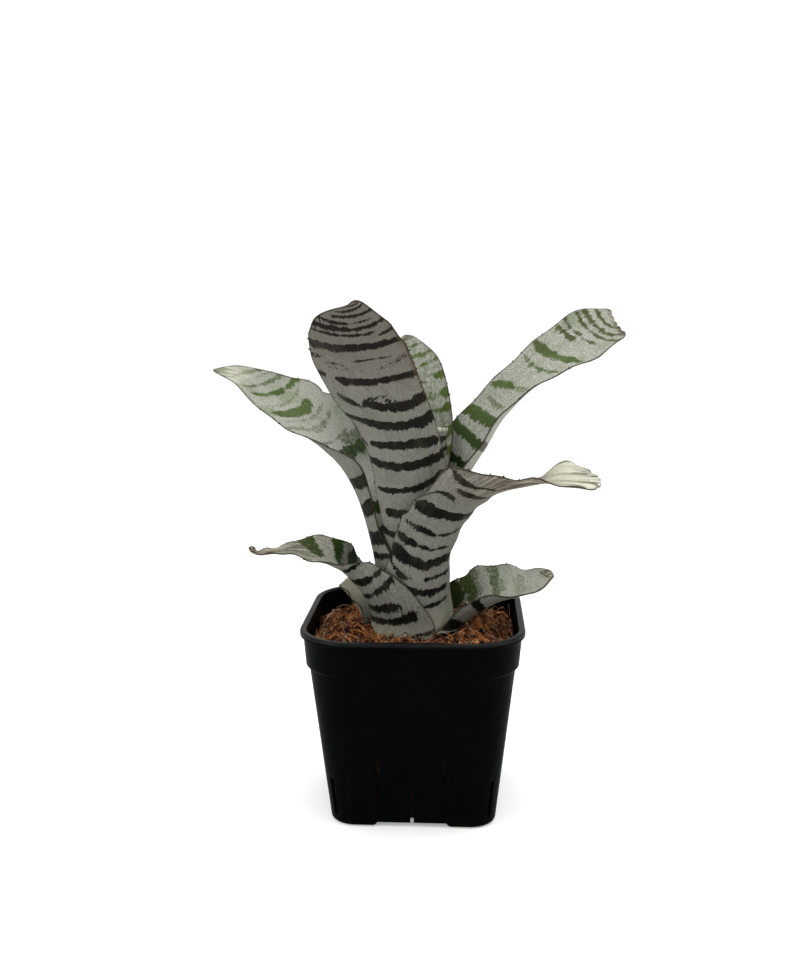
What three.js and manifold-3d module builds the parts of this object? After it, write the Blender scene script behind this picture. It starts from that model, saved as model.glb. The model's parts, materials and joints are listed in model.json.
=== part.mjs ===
// A young banded tank bromeliad in a square nursery pot.
// Millimetres, +Z up, origin at the middle of the pot's underside, +X to the right of the front side.

import * as THREE from 'three';
import { mergeVertices } from 'three/addons/utils/BufferGeometryUtils.js';
import Module from 'manifold-3d';

const wasm = await Module();
wasm.setup();
const { Manifold, Mesh } = wasm;

// Driving dimensions of the pot
const RIM_WIDTH = 80;
const RIM_CORNER = 20;
const POT_HEIGHT = 71;
const BAND_HEIGHT = 13.8;
const BAND_STEP = 1.3;
const LIP_HEIGHT = 2.4;
const LIP_OVERHANG = 1.2;
const BAND_DRAFT = 1.0;
const BASE_WIDTH = 59.4;
const BASE_CORNER = 9.2;
const BODY_CORNER = 15;
const WALL = 1.2;
const FLOOR = 2.4;
const EDGE_ROUND = 0.5;
const FOOT_ROUND = 1.4;
const FOOT_HEIGHT = 1.5;
const NOTCH_DEPTH = 12;

// Driving dimensions of what is cut or pressed into each side of the pot
const PANEL_HALF_WIDTH = 12.4;
const PANEL_HEIGHT = 27.5;
const PANEL_DEPTH = 0.45;
const SIDE_SLOT_OFFSET = 11.6;
const SIDE_SLOT_WIDTH = 1.7;
const SIDE_SLOT_BOTTOM = 20;
const SIDE_SLIT_WIDTH = 0.8;
const SIDE_SLIT_BOTTOM = 3.4;
const CENTRE_SLIT_WIDTH = 1.3;
const CENTRE_SLIT_TOP = 14;
const CORNER_SLOT_WIDTH = 1.7;
const CORNER_SLOT_BOTTOM = 3.5;
const CORNER_SLOT_HEIGHT = 14;
const DRAIN_RADIUS = 3;
const DRAIN_OFFSET = 15;

// Driving dimensions of the growing medium and the stem
const MEDIUM_LEVEL = 60.5;
const MOUND = 3.5;
const MOUND_RADIUS = 26;
const GAP = 0.35;
const CHIP_COUNT = 48;
const CHIP_REACH = [20.5, 40];
const STRAND_COUNT = 16;
const STRAND_REACH = [23, 33];
const STRAND_RADIUS = 0.5;
const GOLDEN_ANGLE = 2.39996;
const STEM_RADIUS = 4;
const STEM_BOTTOM = 32;
const STEM_TOP = 66;
const ROOT_COUNT = 6;
const ROOT_LENGTH = 9;

// Driving dimensions of the leaves
const BLADE_THICKNESS = 0.8;
const SHEATH_START = 5.3;
const CUP_HEIGHT = 18;
const CUP_WRAPS = [0, 0.3, 0.62];
const SPINE_LENGTH = 1.1;
const FIRST_SPINE_ROW = 4;
const WAVE_HEIGHT = 0.5;
const WAVE_RATE = 5.2;
const TIP_SPAN = 1.3;
const TIP_TURN = 0.93;
const CURL_START = 0.4;

const radians = THREE.MathUtils.degToRad;
const vector = (x, y, z) => new THREE.Vector3(x, y, z);

// A small seeded generator, so that chips and strands fall the same way each time
function seeded(seed) {
  let state = seed;
  return () => {
    state = (state * 1664525 + 1013904223) % 4294967296;
    return state / 4294967296;
  };
}

// Between BufferGeometry and the solids of manifold-3d
function toSolid(geometry) {
  const bare = geometry.clone();
  for (const name of Object.keys(bare.attributes)) {
    if (name !== 'position') bare.deleteAttribute(name);
  }
  const merged = mergeVertices(bare, 1e-4);
  return new Manifold(new Mesh({
    numProp: 3,
    vertProperties: new Float32Array(merged.attributes.position.array),
    triVerts: new Uint32Array(merged.index.array),
  }));
}

function toGeometry(solid) {
  const { vertProperties, triVerts } = solid.getMesh();
  const geometry = new THREE.BufferGeometry();
  geometry.setAttribute('position', new THREE.BufferAttribute(new Float32Array(vertProperties), 3));
  geometry.setIndex(new THREE.BufferAttribute(new Uint32Array(triVerts), 1));
  geometry.computeVertexNormals();
  return geometry;
}

function meshGeometry(points, triangles) {
  const geometry = new THREE.BufferGeometry();
  const numbers = points.flatMap((p) => [p.x, p.y, p.z]);
  geometry.setAttribute('position', new THREE.Float32BufferAttribute(numbers, 3));
  geometry.setIndex(triangles.flat());
  geometry.computeVertexNormals();
  return geometry;
}

// Closed skin over a stack of rings with the same number of points, listed bottom to top
function loft(rings) {
  const count = rings[0].length;
  const points = rings.flat();
  const triangles = [];
  for (let row = 0; row < rings.length - 1; row++) {
    for (let k = 0; k < count; k++) {
      const a = row * count + k;
      const b = row * count + ((k + 1) % count);
      triangles.push([a, b, b + count], [a, b + count, a + count]);
    }
  }
  const middle = (ring) => ring.reduce((sum, p) => sum.add(p), vector(0, 0, 0)).divideScalar(count);
  const bottom = points.push(middle(rings[0])) - 1;
  const top = points.push(middle(rings.at(-1))) - 1;
  const last = (rings.length - 1) * count;
  for (let k = 0; k < count; k++) {
    const next = (k + 1) % count;
    triangles.push([bottom, next, k], [top, last + k, last + next]);
  }
  return meshGeometry(points, triangles);
}

// Square with rounded corners, counter-clockwise from above
function roundedSquare(half, corner, z, steps = 5) {
  const points = [];
  for (let quarter = 0; quarter < 4; quarter++) {
    const middle = radians(45 + 90 * quarter);
    const reach = (half - corner) * Math.SQRT2;
    for (let k = 0; k <= steps; k++) {
      const angle = middle + radians(90) * (k / steps - 0.5);
      points.push(vector(
        reach * Math.cos(middle) + corner * Math.cos(angle),
        reach * Math.sin(middle) + corner * Math.sin(angle),
        z,
      ));
    }
  }
  return points;
}

// The pot: outer and inner skins as rounded squares that grow with height
const bodyTop = POT_HEIGHT - BAND_HEIGHT;
const rimHalf = RIM_WIDTH / 2;
const bandTopHalf = rimHalf - LIP_OVERHANG;
const bandHalf = bandTopHalf - BAND_DRAFT;
const bodyTopHalf = bandHalf - BAND_STEP;
const baseHalf = BASE_WIDTH / 2;
const bandTopCorner = RIM_CORNER - LIP_OVERHANG;
const bandCorner = BODY_CORNER + BAND_STEP;
const lipBottom = POT_HEIGHT - LIP_HEIGHT;

// Half width and corner radius of the body's outside at a height below the rim band
function bodySection(z) {
  const share = z / bodyTop;
  return [
    THREE.MathUtils.lerp(baseHalf, bodyTopHalf, share),
    THREE.MathUtils.lerp(BASE_CORNER, BODY_CORNER, share),
  ];
}

// Rows of [height, half width, corner radius]: foot, tapered body, step, rim band and rolled lip
function potOutside() {
  const rows = [
    [0, baseHalf - FOOT_ROUND, BASE_CORNER - FOOT_ROUND],
    [FOOT_ROUND * 0.35, baseHalf - FOOT_ROUND * 0.35, BASE_CORNER - FOOT_ROUND * 0.35],
    [FOOT_ROUND, ...bodySection(FOOT_ROUND)],
    [bodyTop, bodyTopHalf, BODY_CORNER],
    [bodyTop + BAND_STEP + EDGE_ROUND, bandHalf, bandCorner],
    [lipBottom - EDGE_ROUND, bandTopHalf, bandTopCorner],
    [lipBottom + EDGE_ROUND / 2, rimHalf, RIM_CORNER],
    [POT_HEIGHT - EDGE_ROUND, rimHalf, RIM_CORNER],
    [POT_HEIGHT, rimHalf - EDGE_ROUND, RIM_CORNER - EDGE_ROUND],
  ];
  return toSolid(loft(rows.map(([z, half, corner]) => roundedSquare(half, corner, z))));
}

// The hollow, or with a clearance the space that the medium may fill
function potInside(clearance, top) {
  const inner = (z, half, corner) => roundedSquare(half - WALL - clearance, corner - WALL - clearance, z);
  const floorTop = FLOOR + clearance;
  const stepTop = bodyTop + 2 * BAND_STEP;
  return toSolid(loft([
    inner(floorTop, ...bodySection(floorTop)),
    inner(bodyTop + EDGE_ROUND, bodyTopHalf, BODY_CORNER),
    inner(stepTop, bandHalf, bandCorner),
    inner(lipBottom, bandTopHalf, bandTopCorner),
    inner(top, bandTopHalf, bandTopCorner),
  ]));
}

// A plate outline in X and Z, pushed through one wall along Y
function cutter(outline, depth, y) {
  const shape = new THREE.Shape(outline.map(([x, z]) => new THREE.Vector2(x, z)));
  const geometry = new THREE.ExtrudeGeometry(shape, { depth, bevelEnabled: false });
  geometry.rotateX(Math.PI / 2);
  geometry.translate(0, y + depth, 0);
  return toSolid(geometry);
}

const slot = (x, width, z0, z1) => [
  [x - width / 2, z0], [x + width / 2, z0], [x + width / 2, z1], [x - width / 2, z1],
];

// Everything that is open in one side of the pot, for the side at -Y
function sideCuts() {
  const depth = rimHalf / 2;
  const y = -rimHalf - 1;
  const cuts = [];
  for (const x of [-SIDE_SLOT_OFFSET, SIDE_SLOT_OFFSET]) {
    cuts.push(cutter(slot(x, SIDE_SLOT_WIDTH, SIDE_SLOT_BOTTOM, PANEL_HEIGHT - 2 * EDGE_ROUND), depth, y));
    cuts.push(cutter(slot(x, SIDE_SLIT_WIDTH, SIDE_SLIT_BOTTOM, SIDE_SLOT_BOTTOM + 1), depth, y));
  }
  cuts.push(cutter(slot(0, CENTRE_SLIT_WIDTH, -1, CENTRE_SLIT_TOP), depth, y));
  const notch = [
    [-PANEL_HALF_WIDTH - FOOT_HEIGHT - 1, -1], [PANEL_HALF_WIDTH + FOOT_HEIGHT + 1, -1],
    [PANEL_HALF_WIDTH, FOOT_HEIGHT], [-PANEL_HALF_WIDTH, FOOT_HEIGHT],
  ];
  cuts.push(cutter(notch, rimHalf - baseHalf + NOTCH_DEPTH + 1, y));
  return Manifold.union(cuts);
}

// The shallow recess of the panel between the two long slots, following the wall's draft
function panelCut() {
  const at = (z) => -bodySection(z)[0] + PANEL_DEPTH;
  const shape = new THREE.Shape([
    new THREE.Vector2(-rimHalf - 5, -1), new THREE.Vector2(at(-1), -1),
    new THREE.Vector2(at(PANEL_HEIGHT), PANEL_HEIGHT), new THREE.Vector2(-rimHalf - 5, PANEL_HEIGHT),
  ]);
  const geometry = new THREE.ExtrudeGeometry(shape, { depth: 2 * PANEL_HALF_WIDTH, bevelEnabled: false });
  geometry.applyMatrix4(new THREE.Matrix4().makeBasis(vector(0, 1, 0), vector(0, 0, 1), vector(1, 0, 0)));
  geometry.translate(-PANEL_HALF_WIDTH, 0, 0);
  return toSolid(geometry);
}

// The slot on the corner edge, for the corner between -Y and +X
function cornerSlot() {
  const depth = 16;
  const geometry = new THREE.BoxGeometry(CORNER_SLOT_WIDTH, depth, CORNER_SLOT_HEIGHT);
  geometry.translate(0, -baseHalf - depth / 2, CORNER_SLOT_BOTTOM + CORNER_SLOT_HEIGHT / 2);
  return toSolid(geometry).rotate([0, 0, 45]);
}

function drain() {
  const geometry = new THREE.CylinderGeometry(DRAIN_RADIUS, DRAIN_RADIUS, 4 * FLOOR, 16);
  geometry.rotateX(Math.PI / 2);
  geometry.translate(0, -DRAIN_OFFSET, 0);
  return toSolid(geometry);
}

function pot() {
  let solid = potOutside().subtract(potInside(0, POT_HEIGHT + 2));
  for (const turn of [0, 90, 180, 270]) {
    for (const cut of [sideCuts(), panelCut(), cornerSlot(), drain()]) {
      solid = solid.subtract(cut.rotate([0, 0, turn]));
    }
  }
  return toGeometry(solid);
}

// The leaves
// A leaf starts as a cup round the stem, runs up as part of a tube and opens into a blade.
// Tube rows are [height, radius, wrap]: the wrap is how far each side reaches round, in degrees.
// Blade rows are [x, y, z, half width, cup, roll, azimuth]: the cup is half the arc of the
// channelled section, the roll tips the face, and the azimuth turns the width, all in degrees.
// Two more numbers, where given, curl the low and the high side of the section further inward.
// A blunt tip is [how many rows it takes, the power of its outline]; a small power is square.
const LEAVES = [
  {
    name: 'leaf_lower_right', azimuth: 8, base: 44, rows: 24, columns: 8, tip: 4, spine: 3,
    tube: [[63, 17.2, 80], [67, 17.8, 72]],
    blunt: [0.6, 0.6],
    blade: [
      [20.6, -0.6, 71.5, 15, 60, 8, 8, 32, 0],
      [26.6, -2, 76.4, 15.4, 52, 14, 6, 50, 0],
      [33.5, -2.4, 80, 13, 36, 18, 2, 25, 0],
      [42, -2.4, 82.2, 8.6, 24, 20, 0],
      [50.8, -2, 86.4, 3.2, 20, 24, 0],
    ],
  },
  {
    name: 'leaf_lower_left', azimuth: 195, base: 46.5, rows: 28, columns: 8, tip: 3, spine: 3,
    tube: [[64, 15.9, 104], [72, 16.3, 100]],
    blunt: [0.2, 0.5],
    blade: [
      [-18.8, -5, 79, 22, 80, 0, 195],
      [-24.6, -6.5, 86.5, 15.6, 66, 0, 193, 0, 50],
      [-30.5, -8, 93, 9.4, 45, -24, 187, 0, 20],
      [-38, -9.5, 96, 6, 32, -36, 182],
      [-46, -10, 96.2, 3.2, 30, -22, 180],
      [-53, -10, 95.2, 2.4, 35, -12, 180],
      [-58, -10, 95.2, 2.4, 35, 0, 180],
      [-59.6, -10, 97.4, 2.2, 35, 0, 180],
    ],
  },
  {
    name: 'leaf_front_right', azimuth: -68, base: 49, rows: 32, columns: 9, tip: 3, spine: 3,
    tube: [[66, 14.2, 98]],
    blunt: [0.35, 0.4],
    blade: [
      [4.2, -14.4, 82, 18.2, 77, 0, -68],
      [5.6, -14.7, 95, 14.2, 61, 0, -66],
      [9.4, -15.8, 105, 14.4, 54, -8, -58],
      [15.4, -18, 112.8, 15.2, 52, -22, -40],
      [23.4, -20.5, 118, 12, 44, -28, -22],
      [32, -22.5, 121, 5.8, 72, -26, -10],
      [41, -24, 123, 3.6, 70, -12, -4],
      [51, -25, 125.6, 6.8, 20, 22, 0],
      [62, -25.5, 124.8, 5, 20, 32, 0],
    ],
  },
  {
    name: 'leaf_left', azimuth: 158, base: 51.5, rows: 32, columns: 9, tip: 5, spine: 3,
    tube: [[66, 12.8, 100], [80, 13.4, 96], [91, 14.6, 88]],
    blade: [
      [-17.2, 6.6, 104.5, 13.5, 62, 0, 160, 0, 20],
      [-23.6, 8.4, 118, 14, 52, 14, 162, -10, 40],
      [-31, 10.8, 130.5, 14, 38, -8, 165, -15, 35],
      [-41, 12, 143, 11.8, 28, -42, 170],
      [-54, 12.5, 151, 8.4, 18, -55, 172],
      [-66, 13, 157.8, 4.2, 15, -60, 174],
      [-76, 12.5, 160, 1.5, 12, -60, 175],
    ],
  },
  {
    name: 'leaf_front', azimuth: -95, base: 54, rows: 34, columns: 10, tip: 6, spine: 3,
    tube: [[68, 11.3, 100], [84, 11.6, 84], [102, 12.2, 64]],
    blunt: [0.5, 0.8],
    blade: [
      [-1, -13.4, 118, 15.6, 56, 0, -95],
      [-3.6, -15.2, 133, 14.8, 48, 0, -95],
      [-8.8, -18.5, 147, 15.5, 38, 0, -97],
      [-15.6, -23, 159.5, 17.6, 30, 0, -98],
      [-18.3, -29.5, 169, 16.7, 25, 0, -95],
      [-18.2, -37.5, 177, 12, 20, 4, -88],
      [-15.8, -46.5, 185.4, 2.2, 20, 8, -80],
    ],
  },
  {
    name: 'leaf_upper_right', azimuth: 20, base: 56.5, rows: 32, columns: 9, tip: 3, spine: 3,
    tube: [[70, 9.8, 100], [90, 10.2, 84], [106, 11, 70]],
    blunt: [0.25, 0.35],
    blade: [
      [15.6, 5, 119, 12.5, 56, 12, 18, 35, 0],
      [21.4, 7, 132, 12, 46, 32, 16, 60, 0],
      [29.8, 9.5, 145, 9.6, 36, 36, 16, 64, 0],
      [40, 12, 156, 8.8, 28, 40, 15, 30, 0],
      [51.4, 14, 165, 10, 20, 42, 14],
      [63.8, 15, 172.2, 11.4, 16, 45, 12],
      [74.8, 14.5, 177, 7, 12, 45, 10],
    ],
  },
  {
    name: 'leaf_back', azimuth: 85, base: 59, rows: 28, columns: 9, tip: 5, spine: 3,
    tube: [[72, 8.3, 100], [90, 8.6, 82], [106, 9.2, 66]],
    blade: [
      [1.6, 10.4, 120, 12, 54, 0, 86],
      [2.6, 12.2, 136, 12.6, 44, 0, 88],
      [1.8, 16.5, 150, 11, 32, 0, 88],
      [-0.6, 22.5, 161.5, 9, 25, 0, 92],
      [-4.8, 30, 172, 5.6, 20, 0, 96],
    ],
  },
  {
    name: 'leaf_inner', azimuth: -60, base: 62.5, rows: 18, columns: 8, tip: 3, spine: 4,
    tube: [[74, 6.4, 95], [94, 6.6, 78], [112, 6.8, 66]],
    blunt: [0.3, 0.4],
    blade: [
      [7.2, -5, 124, 7.5, 55, 0, -50],
      [9.2, -5.2, 133, 6.6, 50, 0, -45],
      [10.4, -5.2, 140.5, 5.2, 45, 0, -40],
    ],
  },
  {
    name: 'trimmed_leaf_base', azimuth: 162, base: 44, rows: 10, columns: 8, tip: 0, spine: 0,
    tube: [[61, 17.6, 34], [66, 18.4, 30]],
    blade: [
      [-20.5, 6.4, 72, 8.5, 34, 0, 162],
      [-24.5, 7.4, 76.5, 8, 30, 0, 164],
      [-28, 8, 80, 7, 26, 0, 166],
    ],
  },
];

// Station rows of one leaf: position, half width, cup, roll, azimuth, the share of the blade's own frame, and curls
function stations(leaf) {
  const [, tubeRadius, tubeWrap] = leaf.tube[0];
  const rows = [];
  const ring = (radius, z, wrap, share) => rows.push([
    radius * Math.cos(radians(leaf.azimuth)), radius * Math.sin(radians(leaf.azimuth)), z,
    radius * radians(wrap), wrap, 0, leaf.azimuth, share, 0, 0,
  ]);
  for (const share of CUP_WRAPS) {
    const radius = THREE.MathUtils.lerp(SHEATH_START, tubeRadius, Math.sin(share * Math.PI / 2));
    ring(radius, leaf.base + share * CUP_HEIGHT, tubeWrap, 0);
  }
  for (const [z, radius, wrap] of leaf.tube) ring(radius, z, wrap, 0);
  for (const row of leaf.blade) rows.push([...row.slice(0, 7), 1, row[7] ?? 0, row[8] ?? 0]);
  return rows;
}

// Smooth curve through the rows, all columns alike, for a place counted in rows
function blend(rows, place) {
  const last = rows.length - 1;
  const k = Math.min(Math.floor(place), last - 1);
  const t = place - k;
  const [a, b, c, d] = [k - 1, k, k + 1, k + 2].map((i) => rows[THREE.MathUtils.clamp(i, 0, last)]);
  return b.map((_, i) => 0.5 * (2 * b[i] + (c[i] - a[i]) * t
    + (2 * a[i] - 5 * b[i] + 4 * c[i] - d[i]) * t * t + (3 * b[i] - a[i] - 3 * c[i] + d[i]) * t ** 3));
}

// Section of a leaf at u from -1 to 1: an even arc in the middle and a tighter one past the curl's start
function section(u, halfWidth, bend, curl) {
  const inner = Math.min(Math.abs(u), CURL_START);
  const tight = bend + curl / (1 - CURL_START);
  const [first, arc] = [bend * inner, bend * inner + tight * (Math.abs(u) - inner)];
  const across = Math.sin(first) / bend + (Math.sin(arc) - Math.sin(first)) / tight;
  const lift = (1 - Math.cos(first)) / bend + (Math.cos(first) - Math.cos(arc)) / tight;
  return [Math.sign(u) * halfWidth * across, halfWidth * lift];
}

// Middle surface of a leaf: rows of points across, from the base to the tip
function middleSurface(leaf) {
  const rows = stations(leaf);
  const last = rows.length - 1;
  const [tipSpan, tipPower] = leaf.blunt ?? [TIP_SPAN, 1];
  const tipStart = last - tipSpan;
  const surface = [];
  const body = leaf.rows - leaf.tip;
  for (let k = 0; k <= leaf.rows; k++) {
    const inTip = k > body;
    const angle = inTip ? (k - body) / leaf.tip * TIP_TURN * Math.PI / 2 : 0;
    const bodyEnd = leaf.tip ? tipStart : last;
    const place = inTip ? tipStart + (last - tipStart) * Math.sin(angle) : bodyEnd * k / body;
    const closing = inTip ? Math.cos(angle) ** tipPower : 1;
    const [x, y, z, halfWidth, cup, roll, azimuth, share, lowCurl, highCurl] = blend(rows, place);
    const ahead = blend(rows, Math.min(place + 0.05, last));
    const behind = blend(rows, Math.max(place - 0.05, 0));
    const along = vector(ahead[0] - behind[0], ahead[1] - behind[1], ahead[2] - behind[2]).normalize();
    const side = vector(-Math.sin(radians(azimuth)), Math.cos(radians(azimuth)), 0);
    side.addScaledVector(along, -side.dot(along) * share).normalize();
    const inward = vector(-Math.cos(radians(azimuth)), -Math.sin(radians(azimuth)), 0);
    const face = along.clone().cross(side).normalize().lerp(inward, 1 - share).normalize();
    const turn = radians(roll) * share;
    const lateral = side.clone().multiplyScalar(Math.cos(turn)).addScaledVector(face, Math.sin(turn));
    const normal = face.clone().multiplyScalar(Math.cos(turn)).addScaledVector(side, -Math.sin(turn));
    const line = [];
    for (let j = 0; j <= leaf.columns; j++) {
      const across = (2 * j / leaf.columns - 1) * closing;
      const ruffle = Math.sin(place * WAVE_RATE + Math.sign(across));
      const wave = WAVE_HEIGHT * share * Math.abs(across) ** 3 * ruffle;
      const curl = radians(across < 0 ? lowCurl : highCurl);
      const [sideways, lift] = section(across, halfWidth, radians(cup), curl);
      line.push(vector(x, y, z).addScaledVector(lateral, sideways).addScaledVector(normal, lift + wave));
    }
    surface.push(line);
  }
  return surface;
}

function leafGeometry(leaf) {
  const surface = middleSurface(leaf);
  const { columns } = leaf;
  const rowCount = surface.length;
  const width = columns + 1;
  const normals = surface.map((line, i) => line.map((_, j) => {
    const up = surface[Math.min(i + 1, rowCount - 1)][j].clone().sub(surface[Math.max(i - 1, 0)][j]);
    const side = line[Math.min(j + 1, columns)].clone().sub(line[Math.max(j - 1, 0)]);
    return up.cross(side).normalize();
  }));
  const points = [];
  for (const sign of [1, -1]) {
    surface.forEach((line, i) => line.forEach((p, j) => {
      points.push(p.clone().addScaledVector(normals[i][j], sign * BLADE_THICKNESS / 2));
    }));
  }
  const under = rowCount * width;
  const at = (i, j) => i * width + j;
  const triangles = [];
  for (let i = 0; i < rowCount - 1; i++) {
    for (let j = 0; j < columns; j++) {
      const [a, b, c, d] = [at(i, j), at(i, j + 1), at(i + 1, j + 1), at(i + 1, j)];
      const halves = (i + j) % 2 ? [[a, b, c], [a, c, d]] : [[a, b, d], [b, c, d]];
      for (const [p, q, r] of halves) triangles.push([p, r, q], [under + p, under + q, under + r]);
    }
  }
  const rim = [];
  for (let i = 0; i < rowCount - 1; i++) rim.push([at(i, columns), at(i + 1, columns), i]);
  for (let j = columns; j > 0; j--) rim.push([at(rowCount - 1, j), at(rowCount - 1, j - 1), -1]);
  for (let i = rowCount - 1; i > 0; i--) rim.push([at(i, 0), at(i - 1, 0), i - 1]);
  for (let j = 0; j < columns; j++) rim.push([at(0, j), at(0, j + 1), -1]);
  for (const [p, q, row] of rim) {
    const corners = [p, q, under + q, under + p];
    const spined = row >= FIRST_SPINE_ROW && row < rowCount - 2 && leaf.spine && row % leaf.spine === 0;
    if (!spined) {
      triangles.push([corners[0], corners[1], corners[2]], [corners[0], corners[2], corners[3]]);
      continue;
    }
    const side = p % width === 0 ? -1 : 1;
    const column = side === 1 ? columns : 0;
    const outward = surface[row][column].clone().sub(surface[row][column - side]).normalize();
    const forward = surface[row + 1][column].clone().sub(surface[row][column]);
    const middle = surface[row][column].clone().addScaledVector(forward, 0.5);
    const apex = points.push(middle.addScaledVector(outward, SPINE_LENGTH)
      .addScaledVector(forward.normalize(), SPINE_LENGTH * 0.5)) - 1;
    corners.forEach((corner, k) => triangles.push([corner, corners[(k + 1) % 4], apex]));
  }
  return meshGeometry(points, triangles);
}

// The stem: a short stock with the stumps of a few roots that point out and down
function stem() {
  const profile = [[0, STEM_BOTTOM], [STEM_RADIUS * 0.65, STEM_BOTTOM], [STEM_RADIUS, STEM_BOTTOM + 4],
    [STEM_RADIUS, 52], [STEM_RADIUS * 0.8, 60], [STEM_RADIUS / 2, STEM_TOP], [0, STEM_TOP]];
  const lathe = new THREE.LatheGeometry(profile.map(([r, z]) => new THREE.Vector2(r, z)), 14);
  lathe.rotateX(Math.PI / 2);
  let solid = toSolid(lathe);
  for (let k = 0; k < ROOT_COUNT; k++) {
    const root = new THREE.CylinderGeometry(0.5, 1, ROOT_LENGTH, 6);
    root.translate(0, ROOT_LENGTH / 2, 0);
    root.rotateX(radians(-120));
    root.rotateZ(radians(360 * k / ROOT_COUNT + 12));
    root.translate(0, 0, STEM_BOTTOM + ROOT_LENGTH + (k % 3) * 2);
    solid = solid.add(toSolid(root));
  }
  return toGeometry(solid);
}

// The medium: chopped coconut husk, level at the wall and heaped towards the plant
function mediumHeight(x, y) {
  const reach = Math.hypot(x, y) / MOUND_RADIUS;
  const ripple = 0.7 * Math.sin(x * 0.42 + 1.3) * Math.cos(y * 0.37) + 0.5 * Math.sin((x + y) * 0.8);
  return MEDIUM_LEVEL + MOUND * Math.exp(-(reach ** 4)) + ripple;
}

function mediumBulk() {
  const rings = [];
  const steps = 6;
  const outline = (half, corner, z) => roundedSquare(half, corner, z, steps);
  const floorTop = FLOOR + GAP;
  rings.push(outline(baseHalf, BASE_CORNER, floorTop));
  rings.push(outline(rimHalf + 2, RIM_CORNER, floorTop + 1));
  for (const half of [rimHalf + 2, 36, 32, 28, 24, 20, 16]) {
    const ring = outline(half, RIM_CORNER * half / rimHalf, 0);
    for (const point of ring) point.z = mediumHeight(point.x, point.y);
    rings.push(ring);
  }
  return toSolid(loft(rings));
}

// Splinter of husk: a wedge-ended prism, laid at a place with a heading and a tilt
function splinter(length, width, height, place, heading, tilt) {
  const shape = new THREE.Shape([[-0.5, -0.3], [0.4, -0.5], [0.5, 0.1], [0.3, 0.5], [-0.42, 0.4]]
    .map(([u, v]) => new THREE.Vector2(u * length, v * width)));
  const geometry = new THREE.ExtrudeGeometry(shape, { depth: height, bevelEnabled: false });
  geometry.rotateY(tilt);
  geometry.rotateZ(heading);
  geometry.translate(place.x, place.y, place.z - height * 0.55);
  return toSolid(geometry);
}

// Loose strand of husk fibre: a thin arch with both ends in the medium
function strand(start, heading, span, rise) {
  const side = vector(-Math.sin(heading), Math.cos(heading), 0);
  const ahead = vector(Math.cos(heading), Math.sin(heading), 0);
  const curve = new THREE.CatmullRomCurve3([0, 0.25, 0.6, 1].map((t) => start.clone()
    .addScaledVector(ahead, span * t)
    .addScaledVector(side, span * 0.16 * Math.sin(t * 5))
    .add(vector(0, 0, rise * Math.sin(Math.PI * t) - 1.6 * Math.abs(2 * t - 1)))));
  const section = new THREE.Shape([0, 1, 2].map((k) => new THREE.Vector2(
    STRAND_RADIUS * Math.cos(k * Math.PI / 1.5), STRAND_RADIUS * Math.sin(k * Math.PI / 1.5))));
  return toSolid(new THREE.ExtrudeGeometry(section, { steps: 5, extrudePath: curve, bevelEnabled: false }));
}

// Space kept clear for the stem and the cups of the leaf bases
function plantHole() {
  const profile = [[0, STEM_BOTTOM - GAP], [12.4, STEM_BOTTOM - GAP], [12.4, 49], [15.4, 53], [18.3, 58],
    [19, 63], [20, 68], [24, 74], [24, 90], [0, 90]];
  const lathe = new THREE.LatheGeometry(profile.map(([r, z]) => new THREE.Vector2(r, z)), 32);
  lathe.rotateX(Math.PI / 2);
  return toSolid(lathe);
}

function medium() {
  const random = seeded(7);
  const between = (low, high) => low + (high - low) * random();
  const pieces = [mediumBulk()];
  for (let k = 0; k < CHIP_COUNT; k++) {
    const angle = k * GOLDEN_ANGLE;
    const reach = THREE.MathUtils.lerp(...CHIP_REACH, Math.sqrt((k + 0.5) / CHIP_COUNT));
    const stretch = 1 + 0.12 * Math.cos(4 * angle + Math.PI);
    const place = vector(reach * stretch * Math.cos(angle), reach * stretch * Math.sin(angle), 0);
    place.z = mediumHeight(place.x, place.y);
    pieces.push(splinter(between(5, 12), between(1.8, 3.6), between(1.6, 2.6), place,
      between(0, Math.PI), between(-0.3, 0.3)));
  }
  for (let k = 0; k < STRAND_COUNT; k++) {
    const angle = between(0, 2 * Math.PI);
    const reach = between(...STRAND_REACH);
    const start = vector(reach * Math.cos(angle), reach * Math.sin(angle), 0);
    start.z = mediumHeight(start.x, start.y) + 0.2;
    pieces.push(strand(start, between(0, 2 * Math.PI), between(7, 13), between(1.5, 3)));
  }
  const filled = Manifold.union(pieces).intersect(potInside(GAP, POT_HEIGHT)).subtract(plantHole());
  const bodies = filled.decompose().sort((a, b) => b.volume() - a.volume());
  return toGeometry(bodies[0]);
}

// The scene graph
const black = new THREE.MeshStandardMaterial({ color: 0x0c1210, roughness: 0.5, metalness: 0 });
const husk = new THREE.MeshStandardMaterial({ color: 0x8a4a24, roughness: 0.9, metalness: 0 });
const wood = new THREE.MeshStandardMaterial({ color: 0x6b5a3a, roughness: 0.85, metalness: 0 });
const banded = new THREE.MeshStandardMaterial({ color: 0x9aa096, roughness: 0.6, metalness: 0 });
const dry = new THREE.MeshStandardMaterial({ color: 0xb0ad80, roughness: 0.75, metalness: 0 });

const group = new THREE.Group();

function add(name, geometry, material) {
  const mesh = new THREE.Mesh(geometry, material);
  mesh.name = name;
  group.add(mesh);
}

add('pot', pot(), black);
add('growing_medium', medium(), husk);
add('stem', stem(), wood);
for (const leaf of LEAVES) add(leaf.name, leafGeometry(leaf), leaf.spine ? banded : dry);

export default group;
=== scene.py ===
"""A potted black amazonian zebra plant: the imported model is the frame, and this script adds its looks."""
import json
import math

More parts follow.
